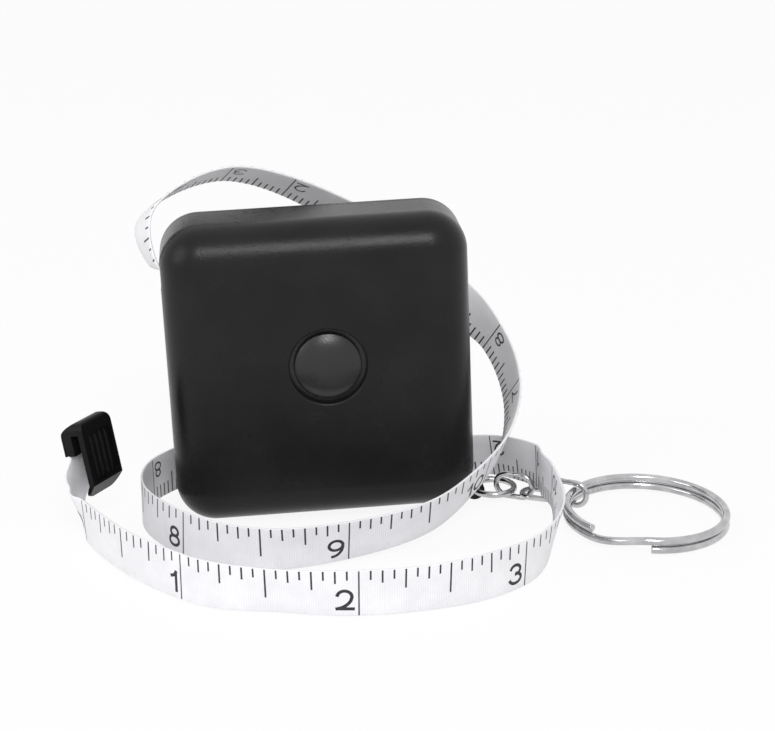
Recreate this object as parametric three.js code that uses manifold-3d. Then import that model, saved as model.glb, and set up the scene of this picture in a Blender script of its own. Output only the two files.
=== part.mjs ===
// A small pocket tape measure that hangs on a chain and a split ring.
// It stands on its edge with the tape drawn out and looped round it.
// Millimetres, +Z up. The round button on the case's face looks along -Y.
import * as THREE from "three";
import { mergeVertices } from "three/addons/utils/BufferGeometryUtils.js";
import Module from "manifold-3d";

const wasm = await Module();
wasm.setup();

// The case: two moulded halves that snap together
const CASE_WIDTH = 45.2;
const CASE_HEIGHT = 45.75;
const CASE_DEPTH = 14;
const WALL = 1.3;
const FRONT_ROUND = 5.5;
const CORNER_MORE = 0.5; // how much rounder the outline's corners are than the front edge
const CORNER_ROUND = FRONT_ROUND + CORNER_MORE;
const REAR_ROUND = 1.2;
const REAR_SHELL_DEPTH = 1.8;
const SEAM = 0.1;
const CASE_ROLL = THREE.MathUtils.degToRad(2.08);
const RIM_DEPTH = 1.2; // the rim that centres the rear half in the front half
const RIM_THICKNESS = 0.8;
const RIM_CLEARANCE = 0.15;
const FRONT_Y = -CASE_DEPTH / 2;
const REAR_Y = CASE_DEPTH / 2;
const SEAM_Y = REAR_Y - REAR_SHELL_DEPTH;
const FRONT_HALF_END_Y = SEAM_Y - SEAM;
const FRONT_INSIDE_Y = FRONT_Y + WALL;
const REAR_INSIDE_Y = REAR_Y - WALL;
const OVERRUN = 1; // how far a cutting tool runs past the face it cuts

// The tape and the slot that it leaves by
const TAPE_WIDTH = 7;
const TAPE_THICKNESS = 0.35;
const TAPE_Y = 1.4; // middle of the tape's width inside the case
const MOUTH_BELOW_TOP = 8.1;
const MOUTH_HEIGHT = 2.8;
const MOUTH_FRONT_ROOM = 0.5;
const MOUTH_Z = CASE_HEIGHT - MOUTH_BELOW_TOP;
const MOUTH_FRONT_Y = TAPE_Y - TAPE_WIDTH / 2 - MOUTH_FRONT_ROOM;
const MOUTH_FLARE = 2.2; // the upper lip is cut back so that the tape can rise

// The reel in the middle of the case, seen from the front
const REEL_X = 1;
const REEL_Z = 24.4;
const TAPE_SIDE_ROOM = 0.15;
const FLANGE_RADIUS = 16;
const FLANGE_THICKNESS = 0.6;
const COVER_THICKNESS = 0.3;
const HUB_RADIUS = 8.2;
const HUB_WALL = 0.8;
const HUB_TAPE_GAP = 0.1;
const TURN_THICKNESS = 0.3; // one layer of the tape wound tightly
const WOUND_LENGTH = 1168; // 60 inches less the 14 that are out
const ROLL_GAP = 0.15;
const REEL_FRONT_Y = TAPE_Y - TAPE_WIDTH / 2 - TAPE_SIDE_ROOM; // the flange's inner face
const REEL_REAR_Y = TAPE_Y + TAPE_WIDTH / 2 + TAPE_SIDE_ROOM; // the cover's inner face
const FLANGE_FRONT_Y = REEL_FRONT_Y - FLANGE_THICKNESS;
const ROLL_INNER = HUB_RADIUS + HUB_TAPE_GAP;
const ROLL_RADIUS = Math.sqrt(ROLL_INNER ** 2 + (WOUND_LENGTH * TURN_THICKNESS) / Math.PI);

// The post that the reel turns on, with its screw and washer
const POST_RADIUS = 1.8;
const POST_CLEARANCE = 0.25;
const POST_PROUD = 0.3; // how far the post stands out in front of the reel
const POST_FRONT_Y = FLANGE_FRONT_Y - POST_PROUD;
const POST_SLOT = 0.6;
const POST_SLOT_END = 0.5; // solid length left at each end of the slot
const SCREW_RADIUS = 0.85;
const SCREW_LENGTH = 2.2;
const SCREW_CLEARANCE = 0.15;
const SCREW_HEAD_RADIUS = 2.8;
const SCREW_HEAD_HEIGHT = 0.65;
const DRIVER_SLOT = 0.6;
const DRIVER_SLOT_DEPTH = 0.3;
const WASHER_THICKNESS = 0.2;
const WASHER_MARGIN = 0.3;
const WASHER_FRONT_Y = POST_FRONT_Y - WASHER_THICKNESS;
const HEAD_FRONT_Y = WASHER_FRONT_Y - SCREW_HEAD_HEIGHT;

// The spring that winds the tape in
const STRIP_THICKNESS = 0.25;
const STRIP_SIDE_ROOM = 0.35;
const STRIP_TURNS = 6;
const STRIP_POST_GAP = 0.6;
const STRIP_HUB_GAP = 0.35;
const STRIP_TAIL = 1.4; // how far its inner end reaches into the post's slot

// The push button, its hole and its return spring
const BUTTON_RADIUS = 5;
const BUTTON_HOLE_RADIUS = 5.7;
const HOLE_BEVEL = 0.3;
const BUTTON_PROUD = 0.7; // the crown of its dome above the case's face
const BUTTON_DOME = 1.2;
const BUTTON_LEDGE = 0.6; // how far its flange reaches past the hole
const BUTTON_LEDGE_THICKNESS = 0.6;
const BUTTON_LEDGE_GAP = 0.1;
const BUTTON_CUP_RADIUS = 3.9;
const BUTTON_CROWN = 1.5;
const BUTTON_TOP_Y = FRONT_Y - BUTTON_PROUD;
const BUTTON_EDGE_Y = BUTTON_TOP_Y + BUTTON_DOME;
const LEDGE_FRONT_Y = FRONT_INSIDE_Y + BUTTON_LEDGE_GAP;
const LEDGE_REAR_Y = LEDGE_FRONT_Y + BUTTON_LEDGE_THICKNESS;
const CUP_Y = BUTTON_TOP_Y + BUTTON_CROWN;
const COIL_RADIUS = 2.3;
const COIL_WIRE = 0.35;
const COIL_TURNS = 2.5;
const COIL_SEAT = 0.03;

// The brake: an arm on a pin, moved off the reel's flange by the button
const ARM_THICKNESS = 0.7;
const ARM_BUTTON_GAP = 0.1;
const ARM_WIDTH = 4;
const PIVOT_REACH = 10.5; // from the reel's middle to the pin
const ARM_INNER = 6.5; // from the pin to the end under the button
const ARM_OUTER = 4.5; // from the pin to the end with the pad
const KNUCKLE_RADIUS = 1;
const PIN_RADIUS = 0.5;
const PIN_CLEARANCE = 0.15;
const EAR_THICKNESS = 1.2;
const EAR_GAP = 0.3;
const EAR_RADIUS = 1;
const PAD_LENGTH = 2.1;
const PAD_SHORT = 0.2; // how much the pad is set in from the arm's edges
const PAD_GAP = 0.1;
const LEAF_THICKNESS = 0.2;
const LEAF_WIDTH = 2.4;
const LEAF_FOOT = 1.1;
const LEAF_FOOT_REACH = 5.5; // from the pin to the foot's far end
const LEAF_TIP_REACH = 2.1;
const LEAF_GAP = 0.05;
const ARM_FRONT_Y = LEDGE_REAR_Y + ARM_BUTTON_GAP;
const ARM_REAR_Y = ARM_FRONT_Y + ARM_THICKNESS;
const PIN_Y = ARM_FRONT_Y + ARM_THICKNESS / 2;
const PIN_X = REEL_X + PIVOT_REACH;

// The lug on the case's lower corner. It props that corner up.
const LUG_X = 23;
const LUG_Y = 2;
const LUG_THICKNESS = 2.4;
const LUG_HOLE_RADIUS = 0.85;
const LUG_RADIUS = 1.5;
const LUG_ROOT_X = 18.8;
const LUG_ROOT_Z = 3.8;

// The chain: a round jump ring, then links that stand and lie in turn
const JUMP_WIRE = 1;
const JUMP_RADIUS = 3.25; // to the middle of its wire
const JUMP_SHIFT = 0.25; // how far its wire's middle sits past the lug hole's middle
const LINK_WIRE = 0.85;
const LINK_LENGTH = 6.7;
const LINK_WIDTH = 4.45;
const WIRE_GAP = 0.1; // least air between two wires that lie on each other
const SLACK_2 = 2.75;
const SLACK_3 = 1.5;
const SLACK_4 = 1.45;
const HEADING_2 = THREE.MathUtils.degToRad(-28.3);
const HEADING_3 = THREE.MathUtils.degToRad(-25);
const HEADING_4 = THREE.MathUtils.degToRad(-31);
const HEADING_RING = THREE.MathUtils.degToRad(-36.4);

// The split ring: one wire wound nearly twice round
const RING_OUTER = 25;
const RING_WIRE = 1.2;
const RING_COIL_GAP = 0.1;
const RING_SLACK = 1.9; // from the far end of the last link to the ring's wire
const RING_LIFT_GAP = 0.1;
const RING_RAMP = THREE.MathUtils.degToRad(45);
const RING_START = THREE.MathUtils.degToRad(-62);

// The end tab that stops the tape at the mouth and hooks over an edge
const TAB_WIDTH = 7.4;
const TAB_LENGTH = 11.6;
const TAB_FLANGE = 1.2;
const TAB_RISE = 1.4; // how far the plate stands over the clamp
const TAB_PLATE = 0.9;
const TAB_REACH = 3.4; // from the middle of the clamp's tape slot to the plate's face
const TAB_CLAMP = 0.9; // wall of the clamp on the plate's side of the tape
const TAB_OUTER_WALL = 0.3;
const TAB_CLAMP_HEIGHT = 3.6;
const TAB_TAPE_ROOM = 0.1;
const TAB_GAP_TOP = 0.8; // ceiling of the gap between the clamp and the plate
const TAB_TOE_BACK = 1.1;
const TAB_TOE_HEIGHT = 1.9;
const TAB_TOE_EDGE = 0.3;
const TAB_CORNER = 1.6;
const TAB_BORDER = 0.8;
const TAB_BROW = 2.2; // the smooth top of the plate, over its ribs
const TAB_RELIEF = 0.3;
const TAB_RIB_PITCH = 1.25;
const TAB_RIB_WIDTH = 0.55;

// How finely round things are cut
const CORNER_STEPS = 7;
const ROUND_STEPS = 6;
const DISC_STEPS = 48;
const SMALL_STEPS = 24;
const WIRE_SIDES = 8;
const LINK_END_STEPS = 8;
const RING_STEPS = 96;
const STRIP_STEPS = 22; // for one turn of the flat spring
const COIL_STEPS = 16; // for one turn of the button's spring
const TAPE_STEPS = 190;
const MERGE = 1e-4;

// The tape's middle line from its free end to the mouth, measured from the case's
// middle at the floor. The points are chosen by hand.
const TAPE_ROUTE = [
  [-36.69, -3.97, 14.88],
  [-36.45, -4.12, 13.51],
  [-36.21, -4.27, 12.14],
  [-37.15, -4.8, 8.09],
  [-37.5, -6.03, 5.86],
  [-37.27, -7.74, 4.55],
  [-36.09, -10.66, 3.92],
  [-30.63, -21.38, 3.9],
  [-25.72, -27.56, 3.79],
  [-18.4, -34.2, 3.7],
  [-8.7, -37.3, 3.6],
  [1.1, -39.0, 3.6],
  [11.1, -38.4, 3.6],
  [20.6, -35.1, 3.6],
  [28.3, -28.9, 3.7],
  [32.3, -20.0, 4.9],
  [33.2, -10.1, 6.0],
  [32.6, -4.2, 5.7],
  [32.4, 0.0, 5.5],
  [26.5, 7.8, 4.6],
  [16.8, 10.4, 3.9],
  [-1.8, 17.3, 3.7],
  [-11.7, 16.9, 3.7],
  [-20.5, 12.2, 3.6],
  [-26.7, 4.5, 3.6],
  [-27.7, -5.3, 3.8],
  [-23.6, -14.3, 3.8],
  [-16.2, -20.9, 3.6],
  [-6.6, -23.3, 3.6],
  [12.8, -18.6, 5.2],
  [20.6, -13.1, 8.1],
  [26.5, -6.1, 12.1],
  [28.7, 1.8, 17.6],
  [26.4, 8.8, 24.1],
  [19.7, 12.7, 30.2],
  [4.3, 13.9, 42.9],
  [-13.9, 11.6, 50.1],
  [-26.0, 4.5, 45.4],
  [-25.0, 1.7, 39.3],
  [-22.8, 1.4, 37.5],
];
// Which way its inch edge looks at each of those points
const tapeEdgeShares = [
  [-0.522, -0.853, 0.003],
  [-0.522, -0.853, 0.003],
  [-0.522, -0.853, 0.003],
  [-0.458, -0.738, 0.603],
  [-0.283, -1.006, 0.488],
  [-0.207, -0.614, 0.794],
  [-0.219, 0.271, 0.87],
  [0.073, -0.178, 0.987],
  [0, -0.01, 1],
  [0, -0.04, 1],
  [-0.04, -0.17, 0.98],
  [-0.01, -0.08, 1],
  [0.02, -0.09, 1],
  [0, 0, 1],
  [0.06, -0.09, 0.99],
  [0.2, -0.22, 0.95],
  [-0.01, 0.05, 1],
  [-0.03, 0.08, 1],
  [-0.03, 0.05, 1],
  [-0.05, -0.12, 0.99],
  [-0.13, -0.25, 0.96],
  [-0.01, -0.05, 1],
  [0, -0.01, 1],
  [-0.01, 0, 1],
  [-0.02, 0.02, 1],
  [0.01, 0.02, 1],
  [0.04, 0.02, 1],
  [-0.01, -0.07, 1],
  [0, -0.2, 0.98],
  [-0.01, -0.43, 0.9],
  [0.07, -0.53, 0.84],
  [0.17, -0.59, 0.79],
  [0.26, -0.6, 0.75],
  [0.28, -0.56, 0.78],
  [0.63, -0.15, 0.77],
  [0.4, -0.69, 0.6],
  [0.25, -0.84, 0.48],
  [0.36, -0.83, 0.43],
  [0.17, -0.92, 0.35],
  [0.04, -0.99, 0.1],
];
// The tab's own directions: over the clamp, and out of its ribbed face
const tabUpShares = [-0.173, 0.109, 0.978];
const tabFaceShares = [0.835, -0.51, 0.205];
// The tab's top from the clamp to its face: shares of the run, and of the rise
const tabTopShares = [
  [0, -0.4],
  [0.06, 0],
  [0.2, 0.4],
  [0.45, 0.76],
  [0.7, 0.96],
  [0.84, 1],
  [0.95, 0.87],
  [1, 0.55],
];

// Where the rolled case stands: its left lower corner touches the floor.
const halfWidth = CASE_WIDTH / 2;
const cornerDip =
  (CORNER_ROUND - halfWidth) * Math.sin(CASE_ROLL) + CORNER_ROUND * Math.cos(CASE_ROLL);
const CASE_LIFT = CORNER_ROUND - cornerDip;

function caseSpot(x, z) {
  const rise = z - CASE_LIFT;
  return [
    x * Math.cos(CASE_ROLL) + rise * Math.sin(CASE_ROLL),
    rise * Math.cos(CASE_ROLL) - x * Math.sin(CASE_ROLL),
  ];
}

// Helpers that make and join solids
function solidOf(geometry) {
  const loose = geometry.index ? geometry.toNonIndexed() : geometry.clone();
  const bare = new THREE.BufferGeometry();
  bare.setAttribute("position", loose.getAttribute("position"));
  const merged = mergeVertices(bare, MERGE);
  const ids = merged.index.array;
  const kept = [];
  for (let i = 0; i < ids.length; i += 3) {
    const [a, b, c] = [ids[i], ids[i + 1], ids[i + 2]];
    if (a !== b && b !== c && c !== a) kept.push(a, b, c);
  }
  const build = (list) =>
    new wasm.Manifold(
      new wasm.Mesh({
        numProp: 3,
        vertProperties: new Float32Array(merged.attributes.position.array),
        triVerts: new Uint32Array(list),
      }),
    );
  const made = build(kept);
  if (made.volume() >= 0) return made;
  const turned = [];
  for (let i = 0; i < kept.length; i += 3) turned.push(kept[i], kept[i + 2], kept[i + 1]);
  return build(turned);
}

function geometryOf(solid) {
  const out = solid.getMesh();
  const made = new THREE.BufferGeometry();
  made.setAttribute(
    "position",
    new THREE.BufferAttribute(new Float32Array(out.vertProperties), 3),
  );
  made.setIndex(new THREE.BufferAttribute(new Uint32Array(out.triVerts), 1));
  made.computeVertexNormals();
  return made;
}

const union = (...solids) => solids.reduce((all, next) => all.add(next));
const cut = (solid, ...tools) => tools.reduce((left, tool) => left.subtract(tool), solid);

// A skin over rings of points, closed end to end or capped at both ends
function skin(rings, endless = false) {
  const around = rings[0].length;
  const places = rings.flat().flatMap((p) => [p.x, p.y, p.z]);
  const ids = [];
  const bands = endless ? rings.length : rings.length - 1;
  for (let i = 0; i < bands; i++) {
    const next = (i + 1) % rings.length;
    for (let j = 0; j < around; j++) {
      const k = (j + 1) % around;
      const [a, b] = [i * around + j, i * around + k];
      const [c, d] = [next * around + k, next * around + j];
      ids.push(a, b, c, a, c, d);
    }
  }
  if (!endless) {
    for (const [ring, turn] of [
      [0, true],
      [rings.length - 1, false],
    ]) {
      const middle = rings[ring]
        .reduce((sum, p) => sum.add(p), new THREE.Vector3())
        .divideScalar(around);
      const hub = places.length / 3;
      places.push(middle.x, middle.y, middle.z);
      for (let j = 0; j < around; j++) {
        const [a, b] = [ring * around + j, ring * around + ((j + 1) % around)];
        ids.push(...(turn ? [b, a, hub] : [a, b, hub]));
      }
    }
  }
  const made = new THREE.BufferGeometry();
  made.setAttribute("position", new THREE.BufferAttribute(new Float32Array(places), 3));
  made.setIndex(ids);
  return solidOf(made);
}

// A rounded rectangle that looks along Y, its sides moved in by the same inset
function outlineRing(inset, y) {
  const ring = [];
  const radius = CORNER_ROUND - inset;
  const acrossX = halfWidth - CORNER_ROUND;
  const acrossZ = CASE_HEIGHT / 2 - CORNER_ROUND;
  for (let corner = 0; corner < 4; corner++) {
    const signX = corner === 0 || corner === 3 ? 1 : -1;
    const signZ = corner < 2 ? 1 : -1;
    for (let i = 0; i <= CORNER_STEPS; i++) {
      const angle = ((corner + i / CORNER_STEPS) * Math.PI) / 2;
      ring.push(
        new THREE.Vector3(
          signX * acrossX + radius * Math.cos(angle),
          y,
          CASE_HEIGHT / 2 + signZ * acrossZ + radius * Math.sin(angle),
        ),
      );
    }
  }
  return ring;
}

// Rings of an edge that is rounded from a face at y to the full outline
function roundedEdge(y, radius, inset, towards) {
  const rings = [];
  for (let i = 0; i <= ROUND_STEPS; i++) {
    const angle = ((i / ROUND_STEPS) * Math.PI) / 2;
    rings.push(
      outlineRing(
        inset + radius * (1 - Math.sin(angle)),
        y + towards * radius * (1 - Math.cos(angle)),
      ),
    );
  }
  return rings;
}

const block = (x0, x1, y0, y1, z0, z1) =>
  solidOf(
    new THREE.BoxGeometry(x1 - x0, y1 - y0, z1 - z0).translate(
      (x0 + x1) / 2,
      (y0 + y1) / 2,
      (z0 + z1) / 2,
    ),
  );

// A body turned about an axis along Y through (x, z); the profile is [radius, y]
function turned(profile, x, z, steps) {
  const points = profile.map(([r, y]) => new THREE.Vector2(r, y));
  return solidOf(new THREE.LatheGeometry(points, steps).translate(x, 0, z));
}

const rod = (radius, y0, y1, x, z, steps) =>
  turned(
    [
      [0, y0],
      [radius, y0],
      [radius, y1],
      [0, y1],
    ],
    x,
    z,
    steps,
  );

const pipe = (inner, outer, y0, y1, x, z, steps) =>
  turned(
    [
      [inner, y0],
      [outer, y0],
      [outer, y1],
      [inner, y1],
      [inner, y0],
    ],
    x,
    z,
    steps,
  );

// A rod along Z, for the brake's pin and what goes round it
const upright = (radius, z0, z1, x, y) =>
  solidOf(
    new THREE.CylinderGeometry(radius, radius, z1 - z0, SMALL_STEPS)
      .rotateX(Math.PI / 2)
      .translate(x, y, (z0 + z1) / 2),
  );

// A flat-sided slab between two heights: points are [x, z] and it runs along Y
const slabY = (points, y0, y1) =>
  skin([y0, y1].map((y) => points.map(([x, z]) => new THREE.Vector3(x, y, z))));

// The same along Z, with points [x, y]
const slabZ = (points, z0, z1) =>
  skin([z0, z1].map((z) => points.map(([x, y]) => new THREE.Vector3(x, y, z))));

// A round wire along points. The axis says which way its sides are counted from.
function wire(points, radius, axisAt, endless = false) {
  const rings = points.map((p, i) => {
    const last = points.length - 1;
    const before = points[i > 0 ? i - 1 : endless ? last : 0];
    const after = points[i < last ? i + 1 : endless ? 0 : last];
    const ahead = after.clone().sub(before).normalize();
    const side = ahead.clone().cross(axisAt(i)).normalize();
    const up = side.clone().cross(ahead);
    return Array.from({ length: WIRE_SIDES }, (_, k) => {
      const turn = (2 * Math.PI * k) / WIRE_SIDES;
      return p
        .clone()
        .addScaledVector(side, radius * Math.cos(turn))
        .addScaledVector(up, radius * Math.sin(turn));
    });
  });
  return skin(rings, endless);
}

const root = new THREE.Group();
root.name = "tape_measure";
const caseGroup = new THREE.Group();
caseGroup.name = "rolled_case";
caseGroup.rotation.y = -CASE_ROLL;
caseGroup.position.z = CASE_LIFT;
root.add(caseGroup);

function addNode(group, name, solid, color, metalness, roughness) {
  const look = new THREE.MeshStandardMaterial({ color, metalness, roughness });
  const mesh = new THREE.Mesh(geometryOf(solid), look);
  mesh.name = name;
  group.add(mesh);
  return mesh;
}

// The front half: a tray with its walls, the button's hole, the mouth and the lug
const outer = skin([
  ...roundedEdge(FRONT_Y, FRONT_ROUND, 0, 1),
  outlineRing(0, FRONT_HALF_END_Y),
]);
const inner = skin([
  ...roundedEdge(FRONT_INSIDE_Y, FRONT_ROUND - WALL, WALL, 1),
  outlineRing(WALL, FRONT_HALF_END_Y + OVERRUN),
]);
const [lugX, lugZ] = caseSpot(LUG_X, LUG_RADIUS);
const [lugRootX, lugRootZ] = caseSpot(LUG_ROOT_X, LUG_ROOT_Z);
const lugRun = new THREE.Vector2(lugX - lugRootX, lugZ - lugRootZ);
const lugSide = new THREE.Vector2(-lugRun.y, lugRun.x).setLength(LUG_RADIUS);
const lugFrontY = LUG_Y - LUG_THICKNESS / 2;
const lugRearY = LUG_Y + LUG_THICKNESS / 2;
const lug = union(
  rod(LUG_RADIUS, lugFrontY, lugRearY, lugX, lugZ, SMALL_STEPS),
  slabY(
    [
      [lugX + lugSide.x, lugZ + lugSide.y],
      [lugRootX + lugSide.x, lugRootZ + lugSide.y],
      [lugRootX - lugSide.x, lugRootZ - lugSide.y],
      [lugX - lugSide.x, lugZ - lugSide.y],
    ],
    lugFrontY,
    lugRearY,
  ),
);
const lugHole = rod(
  LUG_HOLE_RADIUS,
  lugFrontY - OVERRUN,
  lugRearY + OVERRUN,
  lugX,
  lugZ,
  SMALL_STEPS,
);
const buttonHole = turned(
  [
    [0, FRONT_Y - OVERRUN],
    [BUTTON_HOLE_RADIUS + HOLE_BEVEL + OVERRUN, FRONT_Y - OVERRUN],
    [BUTTON_HOLE_RADIUS, FRONT_Y + HOLE_BEVEL],
    [BUTTON_HOLE_RADIUS, FRONT_INSIDE_Y + OVERRUN],
    [0, FRONT_INSIDE_Y + OVERRUN],
  ],
  REEL_X,
  REEL_Z,
  DISC_STEPS,
);
const mouthInnerX = -halfWidth + WALL + RIM_CLEARANCE + RIM_THICKNESS + OVERRUN;
const mouthLow = MOUTH_Z - MOUTH_HEIGHT / 2;
const mouthHigh = MOUTH_Z + MOUTH_HEIGHT / 2;
const mouth = block(
  -halfWidth - OVERRUN,
  mouthInnerX,
  MOUTH_FRONT_Y,
  SEAM_Y,
  mouthLow,
  mouthHigh,
);
const flare = slabY(
  [
    [-halfWidth - OVERRUN, mouthHigh - OVERRUN],
    [-halfWidth + WALL, mouthHigh - OVERRUN],
    [-halfWidth + WALL, mouthHigh],
    [-halfWidth - OVERRUN, mouthHigh + MOUTH_FLARE],
  ],
  MOUTH_FRONT_Y,
  SEAM_Y,
);
const armHalf = ARM_WIDTH / 2;
const earZs = [REEL_Z - armHalf - EAR_GAP - EAR_THICKNESS, REEL_Z + armHalf + EAR_GAP];
const ears = earZs.map((z) =>
  cut(
    union(
      block(
        PIN_X - EAR_RADIUS,
        PIN_X + EAR_RADIUS,
        FRONT_INSIDE_Y - WALL / 2,
        PIN_Y,
        z,
        z + EAR_THICKNESS,
      ),
      upright(EAR_RADIUS, z, z + EAR_THICKNESS, PIN_X, PIN_Y),
    ),
    upright(PIN_RADIUS + PIN_CLEARANCE, z - OVERRUN, z + EAR_THICKNESS + OVERRUN, PIN_X, PIN_Y),
  ),
);
const frontShell = union(
  cut(union(outer, lug), inner, lugHole, buttonHole, mouth, flare),
  ...ears,
);
addNode(caseGroup, "front_shell", frontShell, 0x26262a, 0, 0.45);

// The rear half: a shallow lid with a rim that centres it
const rimInset = WALL + RIM_CLEARANCE;
const lid = skin([
  outlineRing(0, SEAM_Y),
  ...roundedEdge(REAR_Y, REAR_ROUND, 0, -1).reverse(),
]);
const rim = skin([
  outlineRing(rimInset, FRONT_HALF_END_Y - RIM_DEPTH),
  outlineRing(rimInset, REAR_INSIDE_Y + WALL / 2),
]);
const lidHollow = skin([
  outlineRing(rimInset + RIM_THICKNESS, FRONT_HALF_END_Y - RIM_DEPTH - OVERRUN),
  outlineRing(rimInset + RIM_THICKNESS, REAR_INSIDE_Y),
]);
addNode(caseGroup, "rear_shell", cut(union(lid, rim), lidHollow, mouth), 0x232326, 0, 0.5);

// The reel, its cover and the roll of tape on it
const postHole = POST_RADIUS + POST_CLEARANCE;
const drum = union(
  pipe(postHole, FLANGE_RADIUS, FLANGE_FRONT_Y, REEL_FRONT_Y, REEL_X, REEL_Z, DISC_STEPS),
  pipe(
    HUB_RADIUS - HUB_WALL,
    HUB_RADIUS,
    FLANGE_FRONT_Y + FLANGE_THICKNESS / 2,
    REEL_REAR_Y,
    REEL_X,
    REEL_Z,
    DISC_STEPS,
  ),
);
addNode(caseGroup, "reel_drum", drum, 0xd8d6cf, 0, 0.5);
addNode(
  caseGroup,
  "reel_cover",
  pipe(
    postHole,
    FLANGE_RADIUS,
    REEL_REAR_Y,
    REEL_REAR_Y + COVER_THICKNESS,
    REEL_X,
    REEL_Z,
    DISC_STEPS,
  ),
  0xc9c7c0,
  0,
  0.5,
);
addNode(
  caseGroup,
  "tape_winding",
  pipe(
    ROLL_INNER,
    ROLL_RADIUS,
    TAPE_Y - TAPE_WIDTH / 2,
    TAPE_Y + TAPE_WIDTH / 2,
    REEL_X,
    REEL_Z,
    DISC_STEPS,
  ),
  0xf0eef2,
  0,
  0.6,
);

// The post, the washer and the screw that keep the reel on it
const slotFrontY = POST_FRONT_Y + SCREW_LENGTH + POST_SLOT_END;
const post = cut(
  rod(POST_RADIUS, POST_FRONT_Y, REAR_INSIDE_Y, REEL_X, REEL_Z, SMALL_STEPS),
  rod(
    SCREW_RADIUS + SCREW_CLEARANCE,
    POST_FRONT_Y - OVERRUN,
    POST_FRONT_Y + SCREW_LENGTH + SCREW_CLEARANCE,
    REEL_X,
    REEL_Z,
    SMALL_STEPS,
  ),
  block(
    REEL_X - POST_RADIUS - OVERRUN,
    REEL_X + POST_RADIUS + OVERRUN,
    slotFrontY,
    REAR_INSIDE_Y - POST_SLOT_END,
    REEL_Z - POST_SLOT / 2,
    REEL_Z + POST_SLOT / 2,
  ),
);
addNode(caseGroup, "arbor", post, 0xb9a264, 0.9, 0.35);
addNode(
  caseGroup,
  "reel_washer",
  pipe(
    SCREW_RADIUS + SCREW_CLEARANCE,
    SCREW_HEAD_RADIUS + WASHER_MARGIN,
    WASHER_FRONT_Y,
    POST_FRONT_Y,
    REEL_X,
    REEL_Z,
    SMALL_STEPS,
  ),
  0xb8bcc0,
  0.9,
  0.3,
);
const screw = cut(
  union(
    rod(SCREW_HEAD_RADIUS, HEAD_FRONT_Y, WASHER_FRONT_Y, REEL_X, REEL_Z, SMALL_STEPS),
    rod(
      SCREW_RADIUS,
      HEAD_FRONT_Y + SCREW_HEAD_HEIGHT / 2,
      POST_FRONT_Y + SCREW_LENGTH,
      REEL_X,
      REEL_Z,
      SMALL_STEPS,
    ),
  ),
  block(
    REEL_X - SCREW_HEAD_RADIUS - OVERRUN,
    REEL_X + SCREW_HEAD_RADIUS + OVERRUN,
    HEAD_FRONT_Y - OVERRUN,
    HEAD_FRONT_Y + DRIVER_SLOT_DEPTH,
    REEL_Z - DRIVER_SLOT / 2,
    REEL_Z + DRIVER_SLOT / 2,
  ),
);
addNode(caseGroup, "arbor_screw", screw, 0xa8acb0, 0.9, 0.3);

// The flat spiral spring between the post and the hub
const stripStart = POST_RADIUS + STRIP_POST_GAP;
const stripEnd = HUB_RADIUS - HUB_WALL - STRIP_HUB_GAP;
const stripFrontY = slotFrontY + STRIP_SIDE_ROOM;
const stripRearY = REAR_INSIDE_Y - POST_SLOT_END - STRIP_SIDE_ROOM;
const stripPath = [new THREE.Vector2(POST_RADIUS - STRIP_TAIL, 0)];
stripPath.push(new THREE.Vector2(POST_RADIUS, 0));
stripPath.push(new THREE.Vector2(stripStart - STRIP_THICKNESS, STRIP_THICKNESS / 2));
for (let i = 1; i <= STRIP_TURNS * STRIP_STEPS; i++) {
  const done = i / (STRIP_TURNS * STRIP_STEPS);
  const radius = stripStart + (stripEnd - stripStart) * done;
  const angle = 2 * Math.PI * STRIP_TURNS * done;
  stripPath.push(new THREE.Vector2(radius * Math.cos(angle), radius * Math.sin(angle)));
}
const stripRings = stripPath.map((p, i) => {
  const last = stripPath.length - 1;
  const ahead = stripPath[Math.min(i + 1, last)].clone().sub(stripPath[Math.max(i - 1, 0)]);
  const side = new THREE.Vector2(-ahead.y, ahead.x).setLength(STRIP_THICKNESS / 2);
  return [
    [1, stripFrontY],
    [1, stripRearY],
    [-1, stripRearY],
    [-1, stripFrontY],
  ].map(
    ([sign, y]) =>
      new THREE.Vector3(REEL_X + p.x + sign * side.x, y, REEL_Z + p.y + sign * side.y),
  );
});
addNode(caseGroup, "mainspring", skin(stripRings), 0x9a9ea6, 0.9, 0.35);

// The button and its return spring
const buttonProfile = [[0, BUTTON_TOP_Y]];
for (let i = 1; i <= ROUND_STEPS; i++) {
  const share = i / ROUND_STEPS;
  buttonProfile.push([BUTTON_RADIUS * share, BUTTON_TOP_Y + BUTTON_DOME * share ** 3]);
}
const ledgeRadius = BUTTON_HOLE_RADIUS + BUTTON_LEDGE;
buttonProfile.push(
  [BUTTON_RADIUS, LEDGE_FRONT_Y],
  [ledgeRadius, LEDGE_FRONT_Y],
  [ledgeRadius, LEDGE_REAR_Y],
  [BUTTON_CUP_RADIUS, LEDGE_REAR_Y],
  [BUTTON_CUP_RADIUS, CUP_Y],
  [0, CUP_Y],
);
addNode(
  caseGroup,
  "push_button",
  turned(buttonProfile, REEL_X, REEL_Z, DISC_STEPS),
  0x2a2a2e,
  0,
  0.35,
);
const coilFrom = CUP_Y + COIL_WIRE / 2 + COIL_SEAT;
const coilTo = HEAD_FRONT_Y - COIL_WIRE / 2 - COIL_SEAT;
const coilCount = COIL_TURNS * COIL_STEPS;
const coilPath = Array.from({ length: coilCount + 1 }, (_, i) => {
  const angle = (2 * Math.PI * i) / COIL_STEPS;
  return new THREE.Vector3(
    REEL_X + COIL_RADIUS * Math.cos(angle),
    coilFrom + ((coilTo - coilFrom) * i) / coilCount,
    REEL_Z + COIL_RADIUS * Math.sin(angle),
  );
});
const alongY = new THREE.Vector3(0, 1, 0);
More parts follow.
